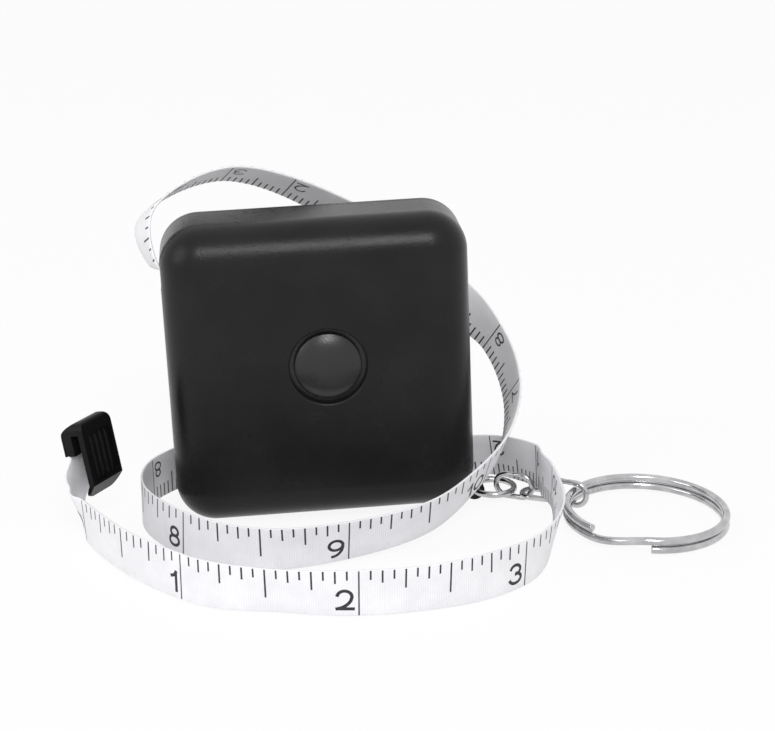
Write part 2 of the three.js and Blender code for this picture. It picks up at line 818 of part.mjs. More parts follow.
addNode(
  caseGroup,
  "button_spring",
  wire(coilPath, COIL_WIRE / 2, () => alongY),
  0xc0c4c8,
  0.9,
  0.25,
);

// The brake arm with its knuckle, pad, pin and leaf spring
const armFrom = PIN_X - ARM_INNER;
const armTo = PIN_X + ARM_OUTER;
const armLow = REEL_Z - armHalf;
const armHigh = REEL_Z + armHalf;
const arm = cut(
  union(
    block(armFrom, armTo, ARM_FRONT_Y, ARM_REAR_Y, armLow, armHigh),
    upright(KNUCKLE_RADIUS, armLow, armHigh, PIN_X, PIN_Y),
  ),
  upright(PIN_RADIUS + PIN_CLEARANCE, armLow - OVERRUN, armHigh + OVERRUN, PIN_X, PIN_Y),
);
addNode(caseGroup, "brake_arm", arm, 0xb0b3b8, 0.9, 0.35);
addNode(
  caseGroup,
  "brake_pad",
  block(
    armTo - PAD_SHORT - PAD_LENGTH,
    armTo - PAD_SHORT,
    ARM_REAR_Y,
    FLANGE_FRONT_Y - PAD_GAP,
    armLow + PAD_SHORT,
    armHigh - PAD_SHORT,
  ),
  0x1c1c1c,
  0,
  0.9,
);
addNode(
  caseGroup,
  "brake_pin",
  upright(PIN_RADIUS, earZs[0], earZs[1] + EAR_THICKNESS, PIN_X, PIN_Y),
  0xb8bcc0,
  0.9,
  0.25,
);
const leafFootX = PIN_X + LEAF_FOOT_REACH;
const leafTipY = ARM_FRONT_Y - LEAF_GAP;
const leafFootY = FRONT_INSIDE_Y + LEAF_THICKNESS;
const leaf = union(
  slabZ(
    [
      [leafFootX, FRONT_INSIDE_Y],
      [leafFootX, leafFootY],
      [leafFootX - LEAF_FOOT - LEAF_THICKNESS, leafFootY],
      [leafFootX - LEAF_FOOT - LEAF_THICKNESS, FRONT_INSIDE_Y],
    ],
    REEL_Z - LEAF_WIDTH / 2,
    REEL_Z + LEAF_WIDTH / 2,
  ),
  slabZ(
    [
      [leafFootX - LEAF_FOOT, FRONT_INSIDE_Y],
      [leafFootX - LEAF_FOOT, leafFootY],
      [PIN_X + LEAF_TIP_REACH, leafTipY],
      [PIN_X + LEAF_TIP_REACH, leafTipY - LEAF_THICKNESS],
    ],
    REEL_Z - LEAF_WIDTH / 2,
    REEL_Z + LEAF_WIDTH / 2,
  ),
);
addNode(caseGroup, "brake_spring", leaf, 0xc4b070, 0.9, 0.3);

// The tape: a ribbon along its route, its width along the edge's direction
const routePoints = TAPE_ROUTE.map((p) => new THREE.Vector3(...p));
const routeCurve = new THREE.CatmullRomCurve3(routePoints, false, "centripetal");
const edgeCurve = new THREE.CatmullRomCurve3(
  tapeEdgeShares.map((p) => new THREE.Vector3(...p)),
  false,
  "centripetal",
);
function ribbonRing(t) {
  const middle = routeCurve.getPoint(t);
  const ahead = routeCurve.getTangent(t);
  const edgeSpot = (t * (routePoints.length - 1)) / (tapeEdgeShares.length - 1);
  const edge = edgeCurve.getPoint(edgeSpot);
  edge.addScaledVector(ahead, -edge.dot(ahead)).normalize();
  const face = ahead.clone().cross(edge);
  return [
    [1, 1],
    [1, -1],
    [-1, -1],
    [-1, 1],
  ].map(([across, out]) =>
    middle
      .clone()
      .addScaledVector(edge, (across * TAPE_WIDTH) / 2)
      .addScaledVector(face, (out * TAPE_THICKNESS) / 2),
  );
}
const ribbon = skin(
  Array.from({ length: TAPE_STEPS + 1 }, (_, i) => ribbonRing(i / TAPE_STEPS)),
);
addNode(root, "tape_blade", ribbon, 0xeeecf2, 0, 0.6);

// The stretch of tape from the roll to the mouth, inside the case
const [mouthTapeX, mouthTapeZ] = caseSpot(
  routePoints.at(-1).x,
  routePoints.at(-1).z,
);
const feedEndX = mouthTapeX + TAPE_THICKNESS;
const feedStartZ = REEL_Z + ROLL_RADIUS + ROLL_GAP + TAPE_THICKNESS / 2;
const feed = slabY(
  [
    [REEL_X, feedStartZ + TAPE_THICKNESS / 2],
    [feedEndX, mouthTapeZ + TAPE_THICKNESS / 2],
    [feedEndX, mouthTapeZ - TAPE_THICKNESS / 2],
    [REEL_X, feedStartZ - TAPE_THICKNESS / 2],
  ],
  TAPE_Y - TAPE_WIDTH / 2,
  TAPE_Y + TAPE_WIDTH / 2,
);
addNode(caseGroup, "tape_feed", feed, 0xeeecf2, 0, 0.6);

// The end tab, in its own frame: x out of its face, y up, z across
const tabUp = new THREE.Vector3(...tabUpShares).normalize();
const tabFace = new THREE.Vector3(...tabFaceShares);
tabFace.addScaledVector(tabUp, -tabFace.dot(tabUp)).normalize();
const tabAcross = tabFace.clone().cross(tabUp);
const tabGroup = new THREE.Group();
tabGroup.name = "tab_frame";
tabGroup.quaternion.setFromRotationMatrix(
  new THREE.Matrix4().makeBasis(tabFace, tabUp, tabAcross),
);
tabGroup.position.copy(routePoints[0]);
root.add(tabGroup);
const slotHalf = TAPE_THICKNESS / 2 + TAB_TAPE_ROOM;
const clampFace = slotHalf + TAB_CLAMP;
const clampBack = -slotHalf - TAB_OUTER_WALL;
const plateFace = TAB_REACH;
const plateBack = plateFace - TAB_PLATE;
const toeBack = plateBack - TAB_TOE_BACK;
const clampTop = TAB_TAPE_ROOM + TAB_FLANGE;
const clampLow = clampTop - TAB_CLAMP_HEIGHT;
const tabTop = clampTop + TAB_RISE;
const plateLow = tabTop - TAB_LENGTH;
const tabOutline = new THREE.Shape(
  [
    ...tabTopShares.map(([run, rise]) => [
      clampBack + run * (plateFace - clampBack),
      clampTop + rise * TAB_RISE,
    ]),
    [plateFace, plateLow + TAB_TOE_HEIGHT],
    [toeBack + TAB_TOE_EDGE, plateLow],
    [toeBack, plateLow],
    [toeBack, plateLow + TAB_TOE_EDGE],
    [plateBack, plateLow + TAB_TOE_HEIGHT],
    [plateBack, TAB_GAP_TOP],
    [clampFace, TAB_GAP_TOP],
    [clampFace, clampLow],
    [slotHalf, clampLow],
    [slotHalf, TAB_TAPE_ROOM],
    [-slotHalf, TAB_TAPE_ROOM],
    [-slotHalf, clampLow],
    [clampBack, clampLow],
  ].map(([x, y]) => new THREE.Vector2(x, y)),
);
const tabBlank = solidOf(
  new THREE.ExtrudeGeometry(tabOutline, { depth: TAB_WIDTH, bevelEnabled: false }).translate(
    0,
    0,
    -TAB_WIDTH / 2,
  ),
);
// Seen from its face the tab has round corners.
function faceShape(inset, round, high, low, x0, x1) {
  const across = TAB_WIDTH / 2 - inset;
  const ring = [];
  for (let corner = 0; corner < 4; corner++) {
    const signY = corner === 0 || corner === 3 ? 1 : -1;
    const signZ = corner < 2 ? 1 : -1;
    for (let i = 0; i <= CORNER_STEPS; i++) {
      const angle = ((corner + i / CORNER_STEPS) * Math.PI) / 2;
      const y = (signY > 0 ? high : low) - signY * round + round * Math.cos(angle);
      const z = signZ * (across - round) + round * Math.sin(angle);
      ring.push([y, z]);
    }
  }
  return skin([x0, x1].map((x) => ring.map(([y, z]) => new THREE.Vector3(x, y, z))));
}
const tabRounded = tabBlank.intersect(
  faceShape(0, TAB_CORNER, tabTop, plateLow, clampBack - OVERRUN, plateFace + OVERRUN),
);
const fieldLow = plateLow + TAB_TOE_HEIGHT + TAB_BORDER / 2;
const fieldHigh = tabTop - TAB_BROW;
const field = faceShape(
  TAB_BORDER,
  TAB_BORDER,
  fieldHigh,
  fieldLow,
  plateFace - TAB_RELIEF,
  plateFace + OVERRUN,
);
const ribSpan = TAB_WIDTH - 2 * TAB_BORDER;
const ribCount = Math.floor((ribSpan - TAB_RIB_WIDTH) / TAB_RIB_PITCH);
const ribs = Array.from({ length: ribCount }, (_, i) => {
  const middle = (i - (ribCount - 1) / 2) * TAB_RIB_PITCH;
  return block(
    plateFace - TAB_RELIEF - TAB_PLATE / 2,
    plateFace,
    fieldLow - TAB_BORDER / 2,
    fieldHigh + TAB_BORDER / 2,
    middle - TAB_RIB_WIDTH / 2,
    middle + TAB_RIB_WIDTH / 2,
  );
});
addNode(tabGroup, "end_tab", union(cut(tabRounded, field), ...ribs), 0x2b2b2f, 0, 0.4);

// The chain. Each wire loop is laid out flat or standing from one end along its heading.
const alongZ = new THREE.Vector3(0, 0, 1);
const headingOf = (angle) => new THREE.Vector3(Math.cos(angle), Math.sin(angle), 0);
const wireRadius = LINK_WIRE / 2;
const loopLength = LINK_LENGTH - LINK_WIRE;
const loopHalf = (LINK_WIDTH - LINK_WIRE) / 2;
const standingZ = loopHalf + wireRadius;
const lyingZ = LINK_WIRE + wireRadius + WIRE_GAP;
const jumpZ = LINK_WIRE + JUMP_WIRE / 2 + WIRE_GAP;

function linkSolid(start, heading, standing) {
  const ahead = headingOf(heading);
  const level = ahead.clone().cross(alongZ).negate();
  const across = standing ? alongZ : level;
  const axis = standing ? level : alongZ;
  const points = [];
  for (const [from, end] of [
    [loopLength - loopHalf, 0],
    [loopHalf, 1],
  ]) {
    for (let i = 0; i <= LINK_END_STEPS; i++) {
      const angle = -Math.PI / 2 + (end + i / LINK_END_STEPS) * Math.PI;
      points.push(
        start
          .clone()
          .addScaledVector(ahead, from + loopHalf * Math.cos(angle))
          .addScaledVector(across, loopHalf * Math.sin(angle)),
      );
    }
  }
  return wire(points, wireRadius, () => axis, true);
}

const jumpMiddle = new THREE.Vector3(LUG_X - JUMP_SHIFT + JUMP_RADIUS, LUG_Y, jumpZ);
const jumpPath = Array.from({ length: 2 * SMALL_STEPS }, (_, i) => {
  const angle = (Math.PI * i) / SMALL_STEPS;
  return headingOf(angle).multiplyScalar(JUMP_RADIUS).add(jumpMiddle);
});
const chrome = [0xd0d3d8, 1, 0.15];
addNode(root, "chain_link_1", wire(jumpPath, JUMP_WIRE / 2, () => alongZ, true), ...chrome);

const at = (from, heading, way, z) =>
  from.clone().addScaledVector(headingOf(heading), way).setZ(z);
const start2 = at(jumpMiddle, HEADING_2, JUMP_RADIUS - SLACK_2, standingZ);
const end2 = at(start2, HEADING_2, loopLength, lyingZ);
const start3 = at(end2, HEADING_2, -SLACK_3, lyingZ);
const end3 = at(start3, HEADING_3, loopLength, lyingZ);
const start4 = at(end3, HEADING_4, -SLACK_4, standingZ);
addNode(root, "chain_link_2", linkSolid(start2, HEADING_2, true), ...chrome);
addNode(root, "chain_link_3", linkSolid(start3, HEADING_3, false), ...chrome);
addNode(root, "chain_link_4", linkSolid(start4, HEADING_4, true), ...chrome);

// The split ring leans on the last link, so its near side is raised.
const ringRadius = (RING_OUTER - RING_WIRE) / 2;
const coilStep = RING_WIRE + RING_COIL_GAP;
const ringHeight = coilStep + RING_WIRE;
const ringNearZ = LINK_WIRE + RING_LIFT_GAP + ringHeight / 2;
const ringLean = Math.asin((ringNearZ - ringHeight / 2) / (2 * ringRadius));
const ringNear = at(start4, HEADING_4, loopLength - RING_SLACK, ringNearZ);
const ringMiddle = at(ringNear, HEADING_RING, ringRadius * Math.cos(ringLean), 0);
ringMiddle.z = ringNearZ - ringRadius * Math.sin(ringLean);
const ringAhead = headingOf(HEADING_RING);
const ringSide = headingOf(HEADING_RING + Math.PI / 2);
const ringUp = alongZ.clone().applyAxisAngle(ringSide, ringLean);
const ringOut = ringAhead.clone().applyAxisAngle(ringSide, ringLean);
const ringTurn = 4 * Math.PI - RING_RAMP;
const rampFrom = 2 * Math.PI - RING_RAMP;
const ringPath = Array.from({ length: RING_STEPS + 1 }, (_, i) => {
  const angle = (ringTurn * i) / RING_STEPS;
  const climb = THREE.MathUtils.smoothstep(angle, rampFrom, 2 * Math.PI);
  return ringMiddle
    .clone()
    .addScaledVector(ringOut, ringRadius * Math.cos(RING_START + angle))
    .addScaledVector(ringSide, ringRadius * Math.sin(RING_START + angle))
    .addScaledVector(ringUp, coilStep * (climb - 1 / 2));
});
addNode(root, "split_ring", wire(ringPath, RING_WIRE / 2, () => ringUp), ...chrome);

// The origin goes under the middle of all that isn't tape.
root.updateMatrixWorld(true);
const reach = new THREE.Box3();
const looseNames = ["tape_blade", "end_tab"];
root.traverse((o) => {
  if (o.isMesh && !looseNames.includes(o.name)) reach.expandByObject(o, true);
});
const shift = new THREE.Vector3(
  -(reach.min.x + reach.max.x) / 2,
  -(reach.min.y + reach.max.y) / 2,
  -reach.min.z,
);
root.position.copy(shift);
root.updateMatrixWorld(true);

export const places = {
  shift,
  caseRoll: CASE_ROLL,
  caseLift: CASE_LIFT,
  button: [REEL_X, BUTTON_TOP_Y, REEL_Z],
  pin: [PIN_X, PIN_Y, REEL_Z],
  jump: [LUG_X, LUG_Y, jumpZ],
  link2: at(jumpMiddle, HEADING_2, JUMP_RADIUS, jumpZ),
  link3: start3,
  link4: end3,
  ringNear,
  ringSide,
  ringMiddle,
};
export default root;
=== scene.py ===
# %% [markdown]
# # A pocket tape measure, drawn out and looped
# A small black case holds a reel of white tape. The tape comes out of a slot
# in the case's left side, loops round and over the case, and ends in a black
# hook. A chain on the lower right corner carries a split ring.
# The engineering model is already built and packed. We load it as a fixed
# frame, and everything that we add goes where that frame says.

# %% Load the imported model
import math

import bmesh
import bpy
import numpy as np
from mathutils import Matrix, Vector


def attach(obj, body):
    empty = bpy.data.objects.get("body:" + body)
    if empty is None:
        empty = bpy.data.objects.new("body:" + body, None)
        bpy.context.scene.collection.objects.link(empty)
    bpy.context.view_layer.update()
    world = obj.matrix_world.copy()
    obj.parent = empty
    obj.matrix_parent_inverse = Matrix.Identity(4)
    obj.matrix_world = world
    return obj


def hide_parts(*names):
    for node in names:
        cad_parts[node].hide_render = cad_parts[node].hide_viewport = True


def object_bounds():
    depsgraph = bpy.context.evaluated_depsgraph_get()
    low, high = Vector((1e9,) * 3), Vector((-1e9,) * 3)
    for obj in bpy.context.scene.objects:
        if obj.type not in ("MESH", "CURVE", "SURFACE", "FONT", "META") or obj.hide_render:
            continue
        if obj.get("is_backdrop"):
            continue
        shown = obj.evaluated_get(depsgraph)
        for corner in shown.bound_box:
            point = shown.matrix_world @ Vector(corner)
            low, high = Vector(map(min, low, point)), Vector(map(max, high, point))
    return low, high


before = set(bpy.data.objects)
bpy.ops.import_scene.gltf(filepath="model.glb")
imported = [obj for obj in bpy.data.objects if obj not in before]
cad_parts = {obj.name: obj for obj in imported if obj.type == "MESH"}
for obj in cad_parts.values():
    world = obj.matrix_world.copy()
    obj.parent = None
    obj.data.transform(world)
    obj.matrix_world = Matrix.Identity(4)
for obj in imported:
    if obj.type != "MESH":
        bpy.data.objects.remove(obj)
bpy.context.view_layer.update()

# %% [markdown]
# ## Places and units
# A maker of small things thinks in millimetres, and Blender in metres.
# The drawing of this tape measure counts from the middle of the case at the
# floor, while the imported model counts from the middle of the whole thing.
# Two matrices take care of both, one of them for all that is in the case,
# because the case leans a little to one side.

# %% From millimetres on the drawing to the frame
MM = 0.001
CASE_MIDDLE = Vector((-17.8843, 8.3064, -0.0005)) * MM
CASE_LEAN = math.radians(2.08)
CASE_LIFT = 0.6064  # mm, the leaning case stands on its left lower corner

floor_place = Matrix.Translation(CASE_MIDDLE) @ Matrix.Scale(MM, 4)
case_place = (
    floor_place
    @ Matrix.Translation((0, 0, CASE_LIFT))
    @ Matrix.Rotation(-CASE_LEAN, 4, "Y")
)
print("middle of the case in mm:", [round(v / MM, 2) for v in CASE_MIDDLE])

# %% [markdown]
# ## The camera
# The photograph was taken from a little above and from straight in front,
# with a long lens about 28 cm away. The turn and the distance were worked out
# from the marks and edges of the tape and the outline of the case. A camera
# looks along its own minus Z, so its matrix is made of right, up and minus
# forward.

# %% Place the camera
EYE = Vector((-16.04, -280.88, 116.55))
CAMERA_TURN = math.radians(5.182)
CAMERA_DIP = math.radians(18.418)
CAMERA_ROLL = math.radians(-0.338)
FOCAL_PIXELS = 1975.1
PICTURE_WIDTH = 775

forward = Vector(
    (
        math.sin(CAMERA_TURN) * math.cos(CAMERA_DIP),
        math.cos(CAMERA_TURN) * math.cos(CAMERA_DIP),
        -math.sin(CAMERA_DIP),
    )
)
level_right = Vector((math.cos(CAMERA_TURN), -math.sin(CAMERA_TURN), 0))
level_up = level_right.cross(forward)
right = math.cos(CAMERA_ROLL) * level_right + math.sin(CAMERA_ROLL) * level_up
up = right.cross(forward)

camera = bpy.data.objects.new("camera", bpy.data.cameras.new("camera"))
bpy.context.scene.collection.objects.link(camera)
camera.data.sensor_width = 36
camera.data.lens = FOCAL_PIXELS / PICTURE_WIDTH * camera.data.sensor_width
camera.data.clip_start = 0.01
camera.matrix_world = Matrix.Translation(floor_place @ EYE) @ Matrix(
    (right, up, -forward)
).transposed().to_4x4()
bpy.context.scene.camera = camera
bpy.context.scene.view_settings.view_transform = "Standard"
print("lens in mm:", round(camera.data.lens, 2))

# %% [markdown]
# ## Helpers that make a mesh
# Each piece is built as numbers first: rings of points, and faces between
# them. Pieces that are cut out of each other go through Blender's boolean
# modifier while they are still in millimetres, where its arithmetic has most
# room. Only at the end is the mesh carried to its place in metres.

# %% Make, cut and finish a mesh
def raw_object(name, points, faces):
    mesh = bpy.data.meshes.new(name)
    mesh.from_pydata([tuple(p) for p in points], [], [tuple(f) for f in faces])
    mesh.update()
    made = bpy.data.objects.new(name, mesh)
    bpy.context.scene.collection.objects.link(made)
    return made


def settle(made):
    """Turns an object's modifiers into plain mesh."""
    graph = bpy.context.evaluated_depsgraph_get()
    mesh = bpy.data.meshes.new_from_object(made.evaluated_get(graph))
    old = made.data
    made.modifiers.clear()
    made.data = mesh
    bpy.data.meshes.remove(old)
    return made


def combine(made, tool, how):
    """Joins, cuts or keeps what is common with a tool, and takes the tool away."""
    change = made.modifiers.new(how.lower(), "BOOLEAN")
    change.operation = how
    change.solver = "MANIFOLD"
    change.object = tool
    settle(made)
    bpy.data.objects.remove(tool)
    return made


def soften(made, width, steps=2, angle=40):
    """Rounds the sharp edges a little, as on any moulded or cut piece."""
    change = made.modifiers.new("soft_edges", "BEVEL")
    change.width = width
    change.segments = steps
    change.limit_method = "ANGLE"
    change.angle_limit = math.radians(angle)
    change.use_clamp_overlap = True
    return settle(made)


def set_down(made, place, finish, body, slot, *nodes, angle=32):
    """Carries a finished mesh to its place, gives it its finish, hangs it on its body, and
    hides the imported nodes that it stands for.
    """
    made.data.transform(place)
    made.data.shade_smooth()
    made.data.set_sharp_from_angle(angle=math.radians(angle))
    change = made.modifiers.new("even_normals", "WEIGHTED_NORMAL")
    change.keep_sharp = True
    change.weight = 80
    settle(made)
    made.data.materials.clear()
    made.data.materials.append(finish)
    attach(made, body)
    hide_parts(*nodes)
    print(made.name, "faces:", len(made.data.polygons))
    return made


print("mesh helpers are ready")

# %% [markdown]
# Most pieces here are a skin over rings of points: a ribbon, a wire, a
# rounded box. One helper closes such rings into faces, from end to end or
# with a cap on each end. A turned piece is a skin too, round its axis.

# %% Skins, wires and turned pieces
def skin(rings, endless=False):
    """Faces between rings that all have the same number of points."""
    rings = [np.asarray(r, float) for r in rings]
    around = len(rings[0])
    faces = []
    bands = len(rings) if endless else len(rings) - 1
    for i in range(bands):
        a, b = i * around, (i + 1) % len(rings) * around
        for j in range(around):
            k = (j + 1) % around
            faces.append((a + j, a + k, b + k, b + j))
    if not endless:
        last = (len(rings) - 1) * around
        faces.append(tuple(range(around - 1, -1, -1)))
        faces.append(tuple(range(last, last + around)))
    return np.vstack(rings), faces


def turned(profile, x, z, steps):
    """A closed profile of (radius, y) turned about an axis along Y."""
    rings = []
    for i in range(steps):
        angle = 2 * math.pi * i / steps
        c, s = math.cos(angle), math.sin(angle)
        rings.append([(x + r * c, y, z + r * s) for r, y in profile])
    return skin(rings, endless=True)


def slab(points, low, high, axis="Y"):
    """A flat-sided slab with the outline of the points, along Y or Z."""
    rings = []
    for level in (low, high):
        if axis == "Y":
            rings.append([(a, level, b) for a, b in points])
        else:
            rings.append([(a, b, level) for a, b in points])
    return skin(rings)


WELD_DISTANCE = 1e-5


def solid(name, shape):
    """A closed mesh: equal points welded, and all faces looking outwards."""
    made = raw_object(name, *shape)
    work = bmesh.new()
    work.from_mesh(made.data)
    bmesh.ops.remove_doubles(work, verts=work.verts, dist=WELD_DISTANCE)
    bmesh.ops.recalc_face_normals(work, faces=work.faces)
    work.to_mesh(made.data)
    work.free()
    return made


def add(made, name, shape):
    return combine(made, solid(name, shape), "UNION")


def cut(made, name, shape):
    return combine(made, solid(name, shape), "DIFFERENCE")


def circle(radius, x, y, steps):
    turns = np.linspace(0, 2 * math.pi, steps, endpoint=False)
    return [(x + radius * math.cos(a), y + radius * math.sin(a)) for a in turns]


print("skins and turned pieces are ready")

# %% [markdown]
# ## The tape's route
# The tape is a free cord: it has a real length and it lies where it falls.
# These are the points of its middle line, the same ones that the engineering
# model uses, from the hook to the slot in the case. A second list says which
# way the inch edge looks at each of them, so it twists as the real one does.

# %% Points along the tape
TAPE_ROUTE = np.array([
    [-36.69, -3.97, 14.88], [-36.45, -4.12, 13.51], [-36.21, -4.27, 12.14],
    [-37.15, -4.8, 8.09], [-37.5, -6.03, 5.86], [-37.27, -7.74, 4.55],
    [-36.09, -10.66, 3.92], [-30.63, -21.38, 3.9], [-25.72, -27.56, 3.79],
    [-18.4, -34.2, 3.7], [-8.7, -37.3, 3.6], [1.1, -39.0, 3.6],
    [11.1, -38.4, 3.6], [20.6, -35.1, 3.6], [28.3, -28.9, 3.7],
    [32.3, -20.0, 4.9], [33.2, -10.1, 6.0], [32.6, -4.2, 5.7],
    [32.4, 0.0, 5.5], [26.5, 7.8, 4.6], [16.8, 10.4, 3.9],
    [-1.8, 17.3, 3.7], [-11.7, 16.9, 3.7], [-20.5, 12.2, 3.6],
    [-26.7, 4.5, 3.6], [-27.7, -5.3, 3.8], [-23.6, -14.3, 3.8],
    [-16.2, -20.9, 3.6], [-6.6, -23.3, 3.6], [12.8, -18.6, 5.2],
    [20.6, -13.1, 8.1], [26.5, -6.1, 12.1], [28.7, 1.8, 17.6],
    [26.4, 8.8, 24.1], [19.7, 12.7, 30.2], [4.3, 13.9, 42.9],
    [-13.9, 11.6, 50.1], [-26.0, 4.5, 45.4], [-25.0, 1.7, 39.3],
    [-22.8, 1.4, 37.5],
])
INCH_EDGE_LOOKS = np.array([
    [-0.522, -0.853, 0.003], [-0.522, -0.853, 0.003], [-0.522, -0.853, 0.003],
    [-0.458, -0.738, 0.603], [-0.283, -1.006, 0.488], [-0.207, -0.614, 0.794],
    [-0.219, 0.271, 0.87], [0.073, -0.178, 0.987],
    [0, -0.01, 1], [0, -0.04, 1], [-0.04, -0.17, 0.98],
    [-0.01, -0.08, 1], [0.02, -0.09, 1], [0, 0, 1], [0.06, -0.09, 0.99],
    [0.2, -0.22, 0.95], [-0.01, 0.05, 1], [-0.03, 0.08, 1], [-0.03, 0.05, 1],
    [-0.05, -0.12, 0.99], [-0.13, -0.25, 0.96], [-0.01, -0.05, 1],
    [0, -0.01, 1], [-0.01, 0, 1], [-0.02, 0.02, 1], [0.01, 0.02, 1],
    [0.04, 0.02, 1], [-0.01, -0.07, 1], [0, -0.2, 0.98], [-0.01, -0.43, 0.9],
    [0.07, -0.53, 0.84], [0.17, -0.59, 0.79], [0.26, -0.6, 0.75],
    [0.28, -0.56, 0.78], [0.63, -0.15, 0.77], [0.4, -0.69, 0.6],
    [0.25, -0.84, 0.48], [0.36, -0.83, 0.43], [0.17, -0.92, 0.35],
    [0.04, -0.99, 0.1],
])
ZERO_LINE_POINT = 6  # the scale's 0 line crosses this point of the route
print("points:", len(TAPE_ROUTE))

# %% [markdown]
# A smooth curve has to pass through those points. A centripetal Catmull-Rom
# curve does, without loops or overshoot where the points are unevenly spaced.
# We walk along it in equal steps, so that a place on the tape can be named by
# its distance from the 0 line, just as it is on the real scale.

# %% A smooth curve, measured along its length
NO_GAP = 1e-4  # points nearer than this count as one


def smooth_through(points, spots):
    """The curve's points at the given spots, and its direction there."""
    before = 2 * points[0] - points[1]
    after = 2 * points[-1] - points[-2]
    all_points = np.vstack([before, points, after])
    first = np.minimum(np.floor(spots).astype(int), len(points) - 2)
    part = (spots - first)[:, None]
    a, b, c, d = (all_points[first + n] for n in range(4))
    gaps = [
        np.sqrt(np.linalg.norm(q - p, axis=1))[:, None]
        for p, q in ((a, b), (b, c), (c, d))
    ]
    gaps[1] = np.where(gaps[1] < NO_GAP, 1, gaps[1])
    for n in (0, 2):
        gaps[n] = np.where(gaps[n] < NO_GAP, gaps[1], gaps[n])
    g0, g1, g2 = gaps
    out = ((b - a) / g0 - (c - a) / (g0 + g1) + (c - b) / g1) * g1
    into = ((c - b) / g1 - (d - b) / (g1 + g2) + (d - c) / g2) * g1
    k2 = -3 * b + 3 * c - 2 * out - into
    k3 = 2 * b - 2 * c + out + into
    place = b + out * part + k2 * part**2 + k3 * part**3
    ahead = out + 2 * k2 * part + 3 * k3 * part**2
    return place, ahead


def unit(vectors):
    return vectors / np.linalg.norm(vectors, axis=-1, keepdims=True)


SCALE_STEP = 0.1  # mm between the stations that the print is placed by
MEASURING_POINTS = 12000  # so many that the curve's length is true to a hair
fine_spots = np.linspace(0, len(TAPE_ROUTE) - 1, MEASURING_POINTS)
fine_places, _ = smooth_through(TAPE_ROUTE, fine_spots)
walked = np.concatenate(
    [[0], np.cumsum(np.linalg.norm(np.diff(fine_places, axis=0), axis=1))]
)
zero_at = np.interp(ZERO_LINE_POINT, fine_spots, walked)
station_count = int(walked[-1] / SCALE_STEP) + 1
station_walk = np.linspace(0, walked[-1], station_count)
station_spots = np.interp(station_walk, walked, fine_spots)
station_mid, station_ahead = smooth_through(TAPE_ROUTE, station_spots)
station_ahead = unit(station_ahead)
station_edge, _ = smooth_through(INCH_EDGE_LOOKS, station_spots)
across_part = (station_edge * station_ahead).sum(axis=1, keepdims=True)
station_edge = unit(station_edge - across_part * station_ahead)
station_face = np.cross(station_ahead, station_edge)
station_scale = station_walk - zero_at
INCH = 25.4
print("from the 0 line to the slot in inches:", round(station_scale[-1] / INCH, 2))

# %% [markdown]
# Now a place on the tape is three numbers: how far along, how far from the
# inch edge, and how far off its middle surface. Everything that is printed on
# it, and the tape itself, goes through this one helper.

# %% A place on the tape
TAPE_WIDTH = 7.0
TAPE_THICKNESS = 0.35


def on_tape(along, from_inch_edge, off):
    along = np.asarray(along, float)
    mid, edge, face = (
        np.stack([np.interp(along, station_scale, table[:, k]) for k in range(3)], -1)
        for table in (station_mid, station_edge, station_face)
    )
    reach = (TAPE_WIDTH / 2 - np.asarray(from_inch_edge, float))[..., None]
    return mid + edge * reach + face * np.asarray(off, float)[..., None]


print("the 2 in mark's middle:", np.round(on_tape(2 * INCH, TAPE_WIDTH / 2, 0.0), 1))

# %% [markdown]
# ## Finishes: how a material is put together
# Every finish is a Principled shader with its own texture. The textures are
# calculated from noise and waves in the object's own space, so they are as
# big on the piece as they are in the real thing, from any side.

# %% Helpers for node materials
def new_finish(name, **values):
    finish = bpy.data.materials.new(name)
    finish.use_nodes = True
    shader = finish.node_tree.nodes["Principled BSDF"]
    for socket, value in values.items():
        shader.inputs[socket.replace("_", " ")].default_value = value
    return finish, shader


def add_node(finish, kind, **values):
    node = finish.node_tree.nodes.new(kind)
    for name, value in values.items():
        if hasattr(node, name):
            setattr(node, name, value)
        else:
            node.inputs[name.replace("_", " ")].default_value = value
    return node


def join(finish, source, target):
    finish.node_tree.links.new(source, target)


def grain(finish, scale, detail=4.0, rough=0.55):
    """Noise in the object's own space; scale counts grains to the metre."""
    where = add_node(finish, "ShaderNodeTexCoord")
    noise = add_node(
        finish, "ShaderNodeTexNoise", Scale=scale, Detail=detail, Roughness=rough
    )
    join(finish, where.outputs["Object"], noise.inputs["Vector"])
    return noise.outputs["Fac"]


NOISE_LOW, NOISE_HIGH = 0.35, 0.65  # nearly all noise lies between these


def spread(finish, source, low, high):
    """Turns noise into a range of values for a socket."""
    node = add_node(
        finish, "ShaderNodeMapRange",
        From_Min=NOISE_LOW, From_Max=NOISE_HIGH, To_Min=low, To_Max=high,
    )
    join(finish, source, node.inputs["Value"])
    return node.outputs["Result"]


def two_tone(finish, source, dark, light, start=NOISE_LOW, stop=NOISE_HIGH):
    """Turns noise into a colour between two shades."""
    node = add_node(finish, "ShaderNodeValToRGB")
    low, high = node.color_ramp.elements
    low.position, high.position = start, stop
    low.color, high.color = (*dark, 1), (*light, 1)
    join(finish, source, node.inputs["Fac"])
    return node.outputs["Color"]


def dress(finish, shader, noise, tones, gloss):
    """One noise gives a surface both its shades and how it shines."""
    join(finish, two_tone(finish, noise, *tones), shader.inputs["Base Color"])
    join(finish, spread(finish, noise, *gloss), shader.inputs["Roughness"])


def bumps(finish, shader, height, distance, strength=1.0):
    """Lets a height move the light on a surface; distance is in metres."""
    node = add_node(finish, "ShaderNodeBump", Strength=strength, Distance=distance)
    join(finish, height, node.inputs["Height"])
    join(finish, node.outputs["Normal"], shader.inputs["Normal"])


print("material helpers are ready")

